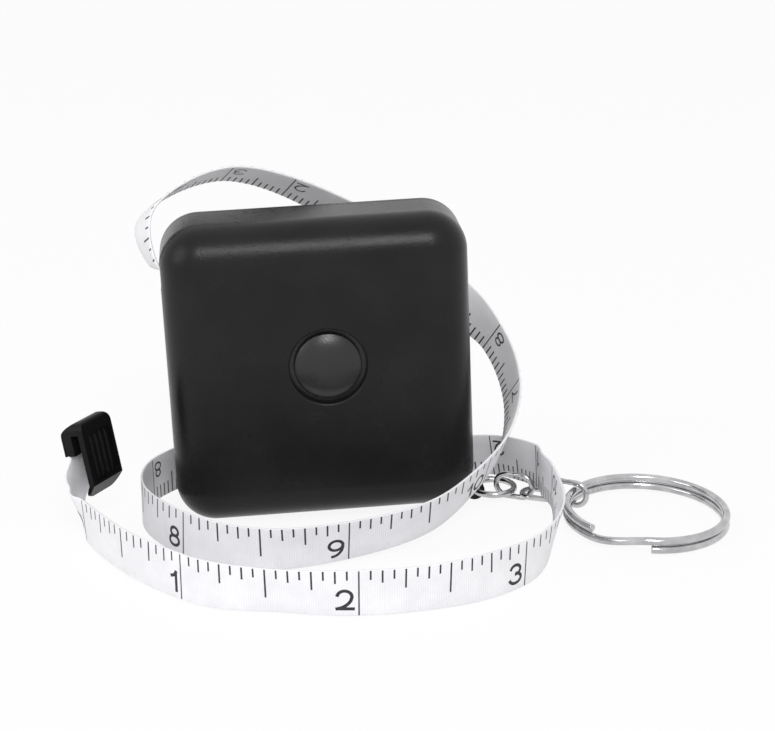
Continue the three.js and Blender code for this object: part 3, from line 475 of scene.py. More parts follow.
# %% [markdown]
# ## Black moulded plastic
# The case is moulded from black plastic in a mould with a fine spark-eroded
# texture, and is nearly black itself. What we see of it is mostly soft
# reflection, broken up by the grain. Two noises do it: one of about a
# quarter of a millimetre for the grain, and a slow one for handling marks.

# %% The plastic of the case, the button and the hook
def black_plastic(name, tones, gloss, depth, shine=0.2):
    finish, shader = new_finish(name, IOR=1.5, Specular_IOR_Level=shine)
    fine = grain(finish, 3600, 5.0, 0.6)
    slow = grain(finish, 90, 3.0, 0.5)
    dress(finish, shader, slow, tones, gloss)
    bumps(finish, shader, fine, depth)
    return finish


case_plastic = black_plastic(
    "case_plastic", [(0.0075, 0.0075, 0.008), (0.0115, 0.0115, 0.012)], (0.24, 0.29),
    0.00004,
)
lid_plastic = black_plastic(
    "lid_plastic", [(0.007, 0.007, 0.0075), (0.011, 0.011, 0.0115)], (0.28, 0.34),
    0.00004,
)
button_plastic = black_plastic(
    "button_plastic", [(0.010, 0.010, 0.0105), (0.015, 0.015, 0.0155)], (0.25, 0.31),
    0.00003, shine=0.45,
)
hook_plastic = black_plastic(
    "hook_plastic", [(0.005, 0.005, 0.0055), (0.008, 0.008, 0.0085)], (0.3, 0.38),
    0.00002, shine=0.12,
)
plastics = (case_plastic, lid_plastic, button_plastic, hook_plastic)
print("plastics:", [m.name for m in plastics])

# %% [markdown]
# ## White coated tape
# The tape is glass-fibre cloth with a thin white coat. Its cross threads show
# as faint ribs, about three to the millimetre, and its colour is a cold white.
# The ribs follow the tape, so they are a wave along its own map of
# coordinates: the first one runs along the tape and the second across it.

# %% The tape's cloth and the ink on it
def woven(finish, direction, scale, unevenness):
    """Threads as a wave along one direction of the tape's own map."""
    where = add_node(finish, "ShaderNodeTexCoord")
    wave = add_node(
        finish, "ShaderNodeTexWave", wave_type="BANDS", bands_direction=direction,
        Scale=scale, Distortion=unevenness, Detail=2.0,
    )
    join(finish, where.outputs["UV"], wave.inputs["Vector"])
    return wave.outputs["Fac"]


def white_cloth(name):
    finish, shader = new_finish(
        name, Sheen_Weight=0.08, Sheen_Roughness=0.5, Roughness=0.55
    )
    ribs = woven(finish, "X", 9.5, 0.6)
    threads = woven(finish, "Y", 8.0, 1.0)
    weave = add_node(finish, "ShaderNodeMath", operation="MULTIPLY_ADD")
    weave.inputs[1].default_value = 0.35
    join(finish, threads, weave.inputs[0])
    join(finish, ribs, weave.inputs[2])
    cloud = grain(finish, 260, 3.0, 0.6)
    shade = two_tone(
        finish, cloud, (0.84, 0.835, 0.86), (0.90, 0.895, 0.92)
    )
    tint = add_node(
        finish, "ShaderNodeMix", data_type="RGBA", blend_type="MULTIPLY", Factor=1.0
    )
    join(finish, shade, tint.inputs[6])
    join(
        finish,
        two_tone(
            finish, weave.outputs["Value"], (0.95, 0.95, 0.96), (1.0, 1.0, 1.0), 0.1, 0.9
        ),
        tint.inputs[7],
    )
    join(finish, tint.outputs[2], shader.inputs["Base Color"])
    bumps(finish, shader, weave.outputs["Value"], 0.00003, 0.35)
    return finish


def black_ink(name):
    finish, shader = new_finish(name)
    patchy = grain(finish, 2600, 4.0, 0.6)
    tones = (0.010, 0.010, 0.013), (0.035, 0.034, 0.042)
    dress(finish, shader, patchy, tones, (0.45, 0.7))
    return finish


tape_cloth = white_cloth("tape_cloth")
tape_ink = black_ink("tape_ink")
print("tape finishes:", tape_cloth.name, tape_ink.name)

# %% [markdown]
# ## The ribbon
# The tape is a flat ribbon with soft edges. At each station along it we lay a
# ring of points across it, rounded at both edges, and skin the rings. Its map
# of coordinates counts centimetres along and across, for the weave.

# %% Lay the ribbon
RIBBON_STEP = 0.3
half_thick = TAPE_THICKNESS / 2
ribbon_along = np.arange(station_scale[0], station_scale[-1], RIBBON_STEP)
ribbon_along = np.append(ribbon_along, station_scale[-1])
flat_width = TAPE_WIDTH - 2 * half_thick
FLAT_SHARES = (0, 0.25, 0.5, 0.75, 1)
EDGE_TURNS = np.radians((45, 90, 135))
section = [(share * flat_width + half_thick, half_thick) for share in FLAT_SHARES]
section += [
    (TAPE_WIDTH - half_thick + half_thick * math.sin(a), half_thick * math.cos(a))
    for a in EDGE_TURNS
]
section += [
    (share * flat_width + half_thick, -half_thick) for share in FLAT_SHARES[::-1]
]
section += [
    (half_thick - half_thick * math.sin(a), half_thick * math.cos(a))
    for a in EDGE_TURNS[::-1]
]
ribbon_rings = [
    on_tape(np.full(len(section), along), [a for a, _ in section], [o for _, o in section])
    for along in ribbon_along
]
ribbon_points, ribbon_faces = skin(ribbon_rings)
print("ribbon faces:", len(ribbon_faces))

# %% [markdown]
# ## The scale
# One side counts inches, in sixteenths from one edge. The other side counts
# centimetres, in millimetres from the other edge. The marks are thin patches
# of ink that lie on the cloth, a hundredth of a millimetre above it, so they
# bend with the tape.

# %% Ink patches on the tape
INK_LIFT = half_thick + 0.012
BARE_EDGE = 0.12
LONG_MARK_WIDTH, MARK_WIDTH = 0.2, 0.25
ink_points = []
ink_faces = []


def ink_patch(side, corners):
    """A patch with corners (along, from the inch edge), on the side +1 or -1."""
    start = len(ink_points)
    along = [c[0] for c in corners]
    across = [c[1] for c in corners]
    ink_points.extend(on_tape(along, across, np.full(len(corners), side * INK_LIFT)))
    ink_faces.append(tuple(range(start, start + len(corners))))


def ink_line(side, along, length, width):
    """A mark that starts at the side's own edge, and reaches this far in."""
    a, b = along - width / 2, along + width / 2
    near, far = BARE_EDGE, length
    if side < 0:
        near, far = TAPE_WIDTH - near, TAPE_WIDTH - far
    ink_patch(side, [(a, near), (a, far), (b, far), (b, near)])


INCH_MARKS = {16: 6.88, 8: 4.6, 4: 3.0, 2: 2.0, 1: 1.5}
last_sixteenth = int(station_scale[-1] / INCH * 16)
for n in range(last_sixteenth + 1):
    size = next(s for s in (16, 8, 4, 2, 1) if n % s == 0)
    width = LONG_MARK_WIDTH if size == 16 else MARK_WIDTH
    ink_line(1, n * INCH / 16, INCH_MARKS[size], width)

CM_MARKS = {10: 6.88, 5: 3.5, 1: 2.2}
last_mm = int(station_scale[-1])
for n in range(last_mm + 1):
    size = next(s for s in (10, 5, 1) if n % s == 0)
    width = LONG_MARK_WIDTH if size == 10 else MARK_WIDTH
    ink_line(-1, n, CM_MARKS[size], width)
print("marks:", last_sixteenth + 1, "in sixteenths,", last_mm + 1, "in millimetres")

# %% [markdown]
# Numerals are drawn with a pen of one width, as on a printed scale. Each is a
# few strokes in a box one high. Lines are split into short pieces, so that
# they can bend with the tape, and a curve is an arc of an ellipse.

# %% Strokes of the ten numerals
def bow(x, y, wide, tall, start, stop, pieces=16):
    turns = np.radians(np.linspace(start, stop, pieces + 1))
    return [(x + wide * math.cos(a), y + tall * math.sin(a)) for a in turns]


NUMERALS = {
    "0": [bow(0.43, 0.5, 0.37, 0.5, 90, 450, 28)],
    "1": [[(0.16, 0.76), (0.34, 0.83), (0.46, 1.0)], [(0.46, 1.0), (0.46, 0.0)]],
    "2": [bow(0.43, 0.68, 0.36, 0.32, 165, -20, 16)
          + bow(-0.06, 0.86, 0.9, 0.85, -21, -70, 6)[1:] + [(0.06, 0.0)],
          [(0.06, 0.0), (0.84, 0.0)]],
    "3": [bow(0.40, 0.745, 0.33, 0.255, 160, -82, 14),
          bow(0.40, 0.27, 0.39, 0.27, 80, -160, 16)],
    "4": [[(0.62, 0.0), (0.62, 1.0)], [(0.62, 1.0), (0.03, 0.3)],
          [(0.03, 0.3), (0.84, 0.3)]],
    "5": [[(0.78, 1.0), (0.2, 1.0)], [(0.2, 1.0), (0.12, 0.5)],
          bow(0.42, 0.33, 0.38, 0.33, 142, -152, 20)],
    "6": [bow(0.43, 0.31, 0.37, 0.31, 90, 450, 24),
          bow(0.62, 0.36, 0.56, 0.66, 183, 92, 10)],
    "7": [[(0.05, 1.0), (0.82, 1.0)], bow(1.1, 0.0, 0.78, 1.05, 112, 180, 8)],
    "8": [bow(0.43, 0.76, 0.29, 0.24, 90, 450, 22),
          bow(0.43, 0.27, 0.37, 0.27, 90, 450, 24)],
    "9": [bow(0.43, 0.69, 0.37, 0.31, 90, 450, 24),
          bow(0.24, 0.64, 0.56, 0.66, 3, -88, 10)],
}
NUMERAL_WIDTH = {name: 0.86 for name in NUMERALS}
NUMERAL_WIDTH["1"] = 0.52
print("numerals:", "".join(NUMERALS))

# %% Ink a numeral
INCH_PEN, CM_PEN = 0.47, 0.3
STROKE_PIECE = 0.3
NUMERAL_GAP = 0.2  # of the numerals' height


def fine_line(points):
    """The same line with no piece longer than a pen's short step."""
    points = np.asarray(points, float)
    out = [points[0]]
    for a, b in zip(points[:-1], points[1:]):
        pieces = max(1, math.ceil(np.linalg.norm(b - a) / STROKE_PIECE))
        out += [a + (b - a) * n / pieces for n in range(1, pieces + 1)]
    return np.array(out)


def ink_numerals(side, text, right_end, foot, height, pen):
    """Text whose right end is at this mark; foot is where its lower edge is."""
    widths = [NUMERAL_WIDTH[c] * height for c in text]
    gap = NUMERAL_GAP * height
    x = right_end - sum(widths) - gap * (len(text) - 1)
    for c, wide in zip(text, widths):
        for stroke in NUMERALS[c]:
            line = fine_line(np.array(stroke) * height)
            ahead = unit(np.gradient(line, axis=0))
            closed = np.allclose(line[0], line[-1])
            if closed:
                ahead[0] = ahead[-1] = unit(line[1] - line[-2])
            side_step = np.stack([-ahead[:, 1], ahead[:, 0]], 1) * pen / 2
            if not closed:
                line[0] -= ahead[0] * pen / 2
                line[-1] += ahead[-1] * pen / 2
            left, rest = line + side_step, line - side_step
            for i in range(len(line) - 1):
                spots = [rest[i], rest[i + 1], left[i + 1], left[i]]
                ink_patch(side, [(x + p[0], foot - side * p[1]) for p in spots])
        x += wide + gap


INCH_NUMERAL, INCH_FOOT, INCH_BACK = 2.75, 5.85, 0.75
last_inch = int(station_scale[-1] / INCH)
for n in [*range(1, last_inch + 1), 0]:
    ink_numerals(1, str(n), n * INCH - INCH_BACK, INCH_FOOT, INCH_NUMERAL, INCH_PEN)

CM_NUMERAL, CM_FOOT, CM_BACK = 2.2, 1.0, 0.6
for n in range(1, int(station_scale[-1] / 10) + 1):
    text = str(n) if n % 10 == 0 else str(n % 10)
    ink_numerals(-1, text, n * 10 - CM_BACK, CM_FOOT, CM_NUMERAL, CM_PEN)
print("ink patches:", len(ink_faces))

# %% [markdown]
# Cloth and ink are one piece with two finishes, because the ink goes wherever
# the tape goes. The tape has its real length, from the slot to the hook; it is
# carried into the frame's metres and rides on the case.

# %% Join the ribbon and its ink
tape = raw_object(
    "tape_ribbon",
    np.vstack([ribbon_points, np.array(ink_points)]),
    list(ribbon_faces) + [tuple(i + len(ribbon_points) for i in f) for f in ink_faces],
)
uv = tape.data.uv_layers.new(name="along_and_across")
ring_size = len(section)
for loop in tape.data.loops:
    i = loop.vertex_index
    if i < len(ribbon_points):
        uv.data[loop.index].uv = (
            ribbon_along[i // ring_size] / 10, section[i % ring_size][0] / 10
        )
tape.data.transform(floor_place)
tape.data.shade_smooth()
tape.data.set_sharp_from_angle(angle=math.radians(50))
tape.data.materials.append(tape_cloth)
tape.data.materials.append(tape_ink)
inked = [0] * len(ribbon_faces) + [1] * len(ink_faces)
tape.data.polygons.foreach_set("material_index", inked)
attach(tape, "case")
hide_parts("tape_blade")
print("tape faces:", len(tape.data.polygons))

# %% [markdown]
# ## The hook at the end
# A black moulded hook is clamped over the tape's end. It stops the tape at
# the slot, and its ribbed plate is what fingers pull. Its side view is one
# outline, which we draw out across the tape. Then round corners, a sunk field
# and rounded ribs are cut and added, and all its edges are softened.

# %% Where the hook stands
hook_up = Vector((-0.173, 0.109, 0.978)).normalized()
hook_face = Vector((0.835, -0.51, 0.205))
hook_face = (hook_face - hook_up * hook_face.dot(hook_up)).normalized()
hook_across = hook_face.cross(hook_up)
hook_place = (
    floor_place
    @ Matrix.Translation(Vector(TAPE_ROUTE[0]))
    @ Matrix((hook_face, hook_up, hook_across)).transposed().to_4x4()
)
print("the hook's face looks along", [round(v, 2) for v in hook_face])

# %% The hook's side view
HOOK_WIDTH, HOOK_LENGTH = 7.4, 11.6
PLATE_FACE, PLATE_THICK = 3.4, 0.9
CLAMP_TOP, CLAMP_LOW, HOOK_TOP = 1.3, -2.3, 2.7
CLAMP_BACK, CLAMP_FACE = -0.575, 1.175
SLOT_HALF, TAPE_ROOM, GAP_TOP = 0.275, 0.1, 0.8
TOE_BACK, TOE_HEIGHT, TOE_EDGE = 1.1, 1.9, 0.3
PLATE_BACK = PLATE_FACE - PLATE_THICK
PLATE_LOW = HOOK_TOP - HOOK_LENGTH
# the top from the clamp to the plate: shares of the run and of the rise
TOP_SHARES = np.array([
    [0, -0.5], [0.03, -0.1], [0.12, 0.22], [0.3, 0.56], [0.52, 0.85],
    [0.7, 0.98], [0.82, 0.97], [0.93, 0.75], [0.985, 0.3], [1, -0.25],
])
TOP_STEPS = 4
top_spots = np.linspace(0, len(TOP_SHARES) - 1, TOP_STEPS * (len(TOP_SHARES) - 1) + 1)
top_bead, _ = smooth_through(TOP_SHARES, top_spots)
hook_outline = [
    (CLAMP_BACK + run * (PLATE_FACE - CLAMP_BACK),
     CLAMP_TOP + rise * (HOOK_TOP - CLAMP_TOP))
    for run, rise in top_bead
] + [
    (PLATE_FACE, PLATE_LOW + TOE_HEIGHT),
    (PLATE_BACK - TOE_BACK + TOE_EDGE, PLATE_LOW),
    (PLATE_BACK - TOE_BACK, PLATE_LOW),
    (PLATE_BACK - TOE_BACK, PLATE_LOW + TOE_EDGE),
    (PLATE_BACK, PLATE_LOW + TOE_HEIGHT),
    (PLATE_BACK, GAP_TOP),
    (CLAMP_FACE, GAP_TOP),
    (CLAMP_FACE, CLAMP_LOW),
    (SLOT_HALF, CLAMP_LOW),
    (SLOT_HALF, TAPE_ROOM),
    (-SLOT_HALF, TAPE_ROOM),
    (-SLOT_HALF, CLAMP_LOW),
    (CLAMP_BACK, CLAMP_LOW),
]
print("corners of the side view:", len(hook_outline))


# %% Draw the hook
HOOK_CORNER, HOOK_CORNER_STEPS, HOOK_EDGE = 1.6, 10, 0.28


def round_cornered(inset, radius, high, low, x0, x1):
    """A slab along the hook's face direction whose corners are round."""
    across = HOOK_WIDTH / 2 - inset
    ring = []
    for corner in range(4):
        sy = 1 if corner in (0, 3) else -1
        sz = 1 if corner < 2 else -1
        for i in range(HOOK_CORNER_STEPS + 1):
            a = (corner + i / HOOK_CORNER_STEPS) * math.pi / 2
            y = (high if sy > 0 else low) - sy * radius + radius * math.cos(a)
            ring.append((y, sz * (across - radius) + radius * math.sin(a)))
    return skin([[(x, y, z) for y, z in ring] for x in (x0, x1)])


hook = solid("pull_hook", slab(hook_outline, -HOOK_WIDTH / 2, HOOK_WIDTH / 2, "Z"))
corner_tool = solid(
    "corner_tool", round_cornered(0, HOOK_CORNER, HOOK_TOP, PLATE_LOW, -3, 6)
)
combine(hook, corner_tool, "INTERSECT")
soften(hook, HOOK_EDGE, 4)

# thin cheeks close the slot at both sides of the tape
CHEEK_NEAR, CHEEK_FAR, CHEEK_BITE = 3.54, 3.66, 0.06
for way in (-1, 1):
    low, high = sorted((way * CHEEK_NEAR, way * CHEEK_FAR))
    reach = SLOT_HALF + CHEEK_BITE
    foot, top = CLAMP_LOW + CHEEK_BITE, TAPE_ROOM + 0.1
    cheek = [(-reach, foot), (reach, foot), (reach, top), (-reach, top)]
    add(hook, "cheek", slab(cheek, low, high, "Z"))

FIELD_BORDER, FIELD_SINK, BROW = 0.8, 0.3, 2.2
field_low = PLATE_LOW + TOE_HEIGHT + FIELD_BORDER / 2
field_high = HOOK_TOP - BROW
field_floor = PLATE_FACE - FIELD_SINK
cut(hook, "field_tool", round_cornered(
    FIELD_BORDER, FIELD_BORDER, field_high, field_low, field_floor, 6
))
print("hook faces so far:", len(hook.data.polygons))

# %% Add the ribs
RIB_PITCH, RIB_WIDTH, RIB_RISE, RIB_BITE = 1.25, 0.55, 0.33, 0.05
rib_count = int((HOOK_WIDTH - 2 * FIELD_BORDER - RIB_WIDTH) / RIB_PITCH)
rib_low, rib_high = field_low + 0.2, field_high - 0.1
for n in range(rib_count):
    middle = (n - (rib_count - 1) / 2) * RIB_PITCH
    rings = []
    for share in np.linspace(0, 1, 15):
        y = rib_low + (rib_high - rib_low) * share
        end = min(1.0, 6 * min(share, 1 - share) + 0.25)
        rings.append([
            (field_floor - RIB_BITE + RIB_RISE * end * math.sin(a), y,
             middle + RIB_WIDTH / 2 * end * math.cos(a))
            for a in np.linspace(0, math.pi, 9)
        ])
    add(hook, "rib", skin(rings))
set_down(hook, hook_place, hook_plastic, "case", "tab_black", "end_tab")
print("ribs:", rib_count)

# %% [markdown]
# The hook sits on the tape's far end as its fitting; the tape itself is limp
# and flat.

# %% [markdown]
# ## The case
# The front half is a tray with walls 1.3 mm thick. Its face runs into the
# sides through a large round. The outline is a square with round corners, and
# each ring of it is drawn smaller and nearer to the face, along a quarter
# circle. That gives a surface with no seams for the light to catch on.

# %% Rings of the case
CASE_WIDTH, CASE_HEIGHT, CASE_DEPTH = 45.2, 45.75, 14.0
WALL, FRONT_ROUND, REAR_ROUND = 1.3, 5.5, 1.2
CORNER_ROUND = FRONT_ROUND + 0.5
FRONT_Y, REAR_Y = -CASE_DEPTH / 2, CASE_DEPTH / 2
SEAM_Y = REAR_Y - 1.8
FRONT_END_Y = SEAM_Y - 0.1
CORNER_STEPS, ROUND_STEPS, REAR_ROUND_STEPS = 20, 18, 8


def outline_ring(inset, y):
    radius = CORNER_ROUND - inset
    flat_x = CASE_WIDTH / 2 - CORNER_ROUND
    flat_z = CASE_HEIGHT / 2 - CORNER_ROUND
    ring = []
    for corner in range(4):
        sx = 1 if corner in (0, 3) else -1
        sz = 1 if corner < 2 else -1
        for i in range(CORNER_STEPS + 1):
            a = (corner + i / CORNER_STEPS) * math.pi / 2
            ring.append((
                sx * flat_x + radius * math.cos(a),
                y,
                CASE_HEIGHT / 2 + sz * flat_z + radius * math.sin(a),
            ))
    return ring


def rounded_edge(y, radius, inset, towards, steps=ROUND_STEPS):
    rings = []
    for i in range(steps + 1):
        a = i / steps * math.pi / 2
        rings.append(outline_ring(
            inset + radius * (1 - math.sin(a)), y + towards * radius * (1 - math.cos(a))
        ))
    return rings


tray = solid(
    "case_front",
    skin(rounded_edge(FRONT_Y, FRONT_ROUND, 0, 1) + [outline_ring(0, FRONT_END_Y)]),
)
hollow = solid(
    "hollow_tool",
    skin(
        rounded_edge(FRONT_Y + WALL, FRONT_ROUND - WALL, WALL, 1)
        + [outline_ring(WALL, FRONT_END_Y + 1)]
    ),
)
print("outer skin faces:", len(tray.data.polygons))

# %% [markdown]
# The lug that carries the chain grows out of the lower right corner. It is
# joined on before the tray is hollowed, and then its hole is drilled, so the
# pieces meet cleanly. The button's hole gets a small rounded lip, and the
# slot for the tape is cut with an upper lip that slopes back.

# %% Join the lug and cut the openings
REEL_X, REEL_Z = 1.0, 24.4
HOLE_RADIUS = 5.7
TAPE_MIDDLE_Y = 1.4
SLOT_Z, SLOT_HEIGHT = CASE_HEIGHT - 8.1, 2.8
SLOT_FRONT_Y = TAPE_MIDDLE_Y - TAPE_WIDTH / 2 - 0.5
LUG_X, LUG_Y, LUG_THICK, LUG_RADIUS, LUG_HOLE = 23.0, 2.0, 2.4, 1.5, 0.85
LUG_ROOT_X, LUG_ROOT_Z = 18.8, 3.8


def in_case(x, z):
    """A place over the floor, counted in the leaning case's own directions."""
    rise = z - CASE_LIFT
    return (
        x * math.cos(CASE_LEAN) + rise * math.sin(CASE_LEAN),
        rise * math.cos(CASE_LEAN) - x * math.sin(CASE_LEAN),
    )


def round_rod(radius, y0, y1, x, z, steps=48):
    return slab(circle(radius, x, z, steps), y0, y1)


lug_x, lug_z = in_case(LUG_X, LUG_RADIUS)
root_x, root_z = in_case(LUG_ROOT_X, LUG_ROOT_Z)
lug_low, lug_high = LUG_Y - LUG_THICK / 2, LUG_Y + LUG_THICK / 2
run = Vector((lug_x - root_x, lug_z - root_z))
side = Vector((-run.y, run.x)).normalized() * LUG_RADIUS
lug = solid("lug", round_rod(LUG_RADIUS, lug_low, lug_high, lug_x, lug_z))
add(lug, "lug_root", slab([
    (lug_x + side.x, lug_z + side.y), (root_x + side.x, root_z + side.y),
    (root_x - side.x, root_z - side.y), (lug_x - side.x, lug_z - side.y),
], lug_low, lug_high))
LUG_EDGE, RING_END_EDGE = 0.25, 0.12
soften(lug, LUG_EDGE, 3)
combine(tray, lug, "UNION")
combine(tray, hollow, "DIFFERENCE")
cut(tray, "lug_drill", round_rod(LUG_HOLE, LUG_Y - 3, LUG_Y + 3, lug_x, lug_z, 32))
print("lug at", round(lug_x, 2), round(lug_z, 2))

# %% Drill the button's hole and cut the slot
LIP = 0.35
lip_curve = [
    (HOLE_RADIUS + LIP * (1 - math.sin(a)), FRONT_Y + LIP * (1 - math.cos(a)))
    for a in np.radians(np.linspace(0, 90, 7))
]
drill_profile = [(0.0, FRONT_Y - 1), (HOLE_RADIUS + LIP, FRONT_Y - 1)] + lip_curve
drill_profile += [(HOLE_RADIUS, FRONT_Y + WALL + 1), (0.0, FRONT_Y + WALL + 1)]
ROUND_STEPS_TURNED = 120
cut(tray, "hole_tool", turned(drill_profile, REEL_X, REEL_Z, ROUND_STEPS_TURNED))
slot_low, slot_high = SLOT_Z - SLOT_HEIGHT / 2, SLOT_Z + SLOT_HEIGHT / 2
RIM_INSET, RIM_WALL, UPPER_LIP_RISE = WALL + 0.15, 0.8, 2.2
slot_out_x = -CASE_WIDTH / 2 - 1
slot_in_x = -CASE_WIDTH / 2 + RIM_INSET + RIM_WALL + 1
slot_shape = [
    (slot_out_x, slot_low), (slot_in_x, slot_low), (slot_in_x, slot_high),
    (-CASE_WIDTH / 2 + WALL, slot_high), (slot_out_x, slot_high + UPPER_LIP_RISE),
]
cut(tray, "slot_tool", slab(slot_shape, SLOT_FRONT_Y, SEAM_Y))
print("slot from", round(slot_low, 1), "to", round(slot_high, 1), "mm over the case's foot")

# %% [markdown]
# Inside the face, two small ears hold the pin of the brake. Nobody sees them
# with the case closed, but they are part of the moulding, so they are here.

# %% Add the ears for the brake's pin
PIN_X, PIN_Y, PIN_HOLE = REEL_X + 10.5, -4.55, 0.65
ARM_HALF, EAR_GAP, EAR_THICK = 2, 0.3, 1.2
for low in (REEL_Z - ARM_HALF - EAR_GAP - EAR_THICK, REEL_Z + ARM_HALF + EAR_GAP):
    ring = [(PIN_X + math.cos(a), PIN_Y + math.sin(a)) for a in np.linspace(0, math.pi, 17)]
    ring += [(PIN_X - 1, FRONT_Y + WALL / 2), (PIN_X + 1, FRONT_Y + WALL / 2)]
    ear = solid("ear", slab(ring, low, low + EAR_THICK, "Z"))
    hole = circle(PIN_HOLE, PIN_X, PIN_Y, 24)
    cut(ear, "ear_drill", slab(hole, low - 1, low + EAR_THICK + 1, "Z"))
    combine(tray, ear, "UNION")
set_down(tray, case_place, case_plastic, "case", "case_black", "front_shell")

# %% [markdown]
# The rear half is a shallow lid with a smaller round at its back. It shows as
# a thin strip above and to the left of the front half, with a fine dark line
# between them. A rim on it slides into the front half and centres it.

# %% The rear half
RIM_LENGTH = 1.2
rear_skin = rounded_edge(REAR_Y, REAR_ROUND, 0, -1, REAR_ROUND_STEPS)[::-1]
lid = solid("case_rear", skin([outline_ring(0, SEAM_Y)] + rear_skin))
add(lid, "rim", skin([
    outline_ring(RIM_INSET, FRONT_END_Y - RIM_LENGTH),
    outline_ring(RIM_INSET, REAR_Y - WALL / 2),
]))
cut(lid, "lid_hollow", skin([
    outline_ring(RIM_INSET + RIM_WALL, FRONT_END_Y - RIM_LENGTH - 1),
    outline_ring(RIM_INSET + RIM_WALL, REAR_Y - WALL),
]))
cut(lid, "lid_slot", slab([
    (slot_out_x, slot_low), (slot_in_x, slot_low),
    (slot_in_x, slot_high), (slot_out_x, slot_high),
], SLOT_FRONT_Y, SEAM_Y))
set_down(lid, case_place, lid_plastic, "case", "case_rear", "rear_shell")

# %% [markdown]
# ## The button
# The button is a low dome in a round hole. It is turned like a bowl: a crown
# that gets steeper towards its edge, a straight side, a flange that keeps it
# in the case, and a hollow for its return spring.

# %% Turn the button
BUTTON_RADIUS, BUTTON_TOP_Y, BUTTON_DOME = 5.0, FRONT_Y - 0.7, 1.2
LEDGE_Y, LEDGE_REACH, LEDGE_THICK = FRONT_Y + WALL + 0.1, 0.6, 0.6
CUP_RADIUS, CROWN_THICK = 3.9, 1.5
dome = [(BUTTON_RADIUS * share, BUTTON_TOP_Y + BUTTON_DOME * share**3)
        for share in np.linspace(0, 0.97, 26)]
dome += [(BUTTON_RADIUS - 0.04, BUTTON_TOP_Y + BUTTON_DOME * 0.97),
         (BUTTON_RADIUS, BUTTON_TOP_Y + BUTTON_DOME + 0.05)]
button_profile = dome + [
    (BUTTON_RADIUS, LEDGE_Y), (HOLE_RADIUS + LEDGE_REACH, LEDGE_Y),
    (HOLE_RADIUS + LEDGE_REACH, LEDGE_Y + LEDGE_THICK),
    (CUP_RADIUS, LEDGE_Y + LEDGE_THICK),
    (CUP_RADIUS, BUTTON_TOP_Y + CROWN_THICK), (0.0, BUTTON_TOP_Y + CROWN_THICK),
]
button = solid("button_dome", turned(button_profile, REEL_X, REEL_Z, ROUND_STEPS_TURNED))
set_down(button, case_place, button_plastic, "button", "button_black", "push_button",
         angle=40)

# %% [markdown]
# ## Chromed wire
# The chain and the ring are bright wire. A mirror shows little of its own, so
# its life comes from what it mirrors, and from fine drawing scratches. A fine
# noise bumps those in, and a slow one dulls it in places.

# %% The chrome
def bright_wire(name, tones, gloss):
    finish, shader = new_finish(name, Metallic=1.0)
    slow = grain(finish, 420, 3.0, 0.5)
    scratch = grain(finish, 5200, 2.0, 0.5)
    dress(finish, shader, slow, tones, gloss)
    bumps(finish, shader, scratch, 0.000004, 0.6)
    return finish


chrome = bright_wire("chrome", [(0.42, 0.42, 0.43), (0.56, 0.56, 0.57)], (0.1, 0.18))
print("metal:", chrome.name)

# %% [markdown]
# ## Wire that follows a path
# A wire is a skin too: a small circle at each point of its path, square to
# it. The chain's links and the split ring all use it. A shallow nick where a
# link's ends meet is made by a smaller circle at that one place.

# %% Bend a wire along points
NICK_SHARE = 0.86


def wire(path, radius, axis, closed, sides=20, nick=None):
    path = np.asarray(path, float)
    if closed:
        ahead = np.roll(path, -1, axis=0) - np.roll(path, 1, axis=0)
    else:
        ahead = np.gradient(path, axis=0)
    ahead = unit(ahead)
    side = unit(np.cross(ahead, axis))
    lift = np.cross(side, ahead)
    turns = np.linspace(0, 2 * math.pi, sides, endpoint=False)
    rings = []
    for i in range(len(path)):
        r = radius * (NICK_SHARE if i == nick else 1.0)
        rings.append([
            path[i] + r * (math.cos(a) * side[i] + math.sin(a) * lift[i]) for a in turns
        ])
    return skin(rings, endless=closed)


def heading(degrees):
    a = math.radians(degrees)
    return np.array([math.cos(a), math.sin(a), 0.0])


UP = np.array([0.0, 0.0, 1.0])
JUMP_WIRE, JUMP_RADIUS = 1.0, 3.25
LINK_WIRE, LINK_LENGTH, LINK_WIDTH, WIRE_GAP = 0.85, 6.7, 4.45, 0.1
link_loop = LINK_LENGTH - LINK_WIRE
link_half = (LINK_WIDTH - LINK_WIRE) / 2
STANDING_Z = link_half + LINK_WIRE / 2
LYING_Z = LINK_WIRE + LINK_WIRE / 2 + WIRE_GAP
JUMP_Z = LINK_WIRE + JUMP_WIRE / 2 + WIRE_GAP
link_heights = [round(z, 3) for z in (STANDING_Z, LYING_Z, JUMP_Z)]
print("wire helper is ready; heights in mm:", link_heights)

# %% [markdown]
# ## The chain
# A round jump ring goes through the lug. Three long links follow, and each is
# turned a quarter against the next, because that is how links hang in each
# other. They lie in a gentle bow on the floor.

# %% Bend the links
LINK_END_STEPS, LINK_STRAIGHT_STEPS = 26, 6


def link_path(start, degrees, standing):
    ahead = heading(degrees)
    level = -np.cross(ahead, UP)
    across = UP if standing else level
    points = []
    for middle, turn in ((link_loop - link_half, 0), (link_half, 1)):
        for i in range(LINK_END_STEPS + 1):
            a = -math.pi / 2 + (turn + i / LINK_END_STEPS) * math.pi
            points.append(start + ahead * (middle + link_half * math.cos(a))
                          + across * link_half * math.sin(a))
        last = points[-1]
        other = link_half if turn == 0 else link_loop - link_half
        goal = start + ahead * other + across * link_half * (1 if turn == 0 else -1)
        for i in range(1, LINK_STRAIGHT_STEPS):
            points.append(last + (goal - last) * i / LINK_STRAIGHT_STEPS)
    axis = level if standing else UP
    return np.array(points), axis


def at(spot, degrees, way, z):
    moved = spot + heading(degrees) * way
    return np.array([moved[0], moved[1], z])


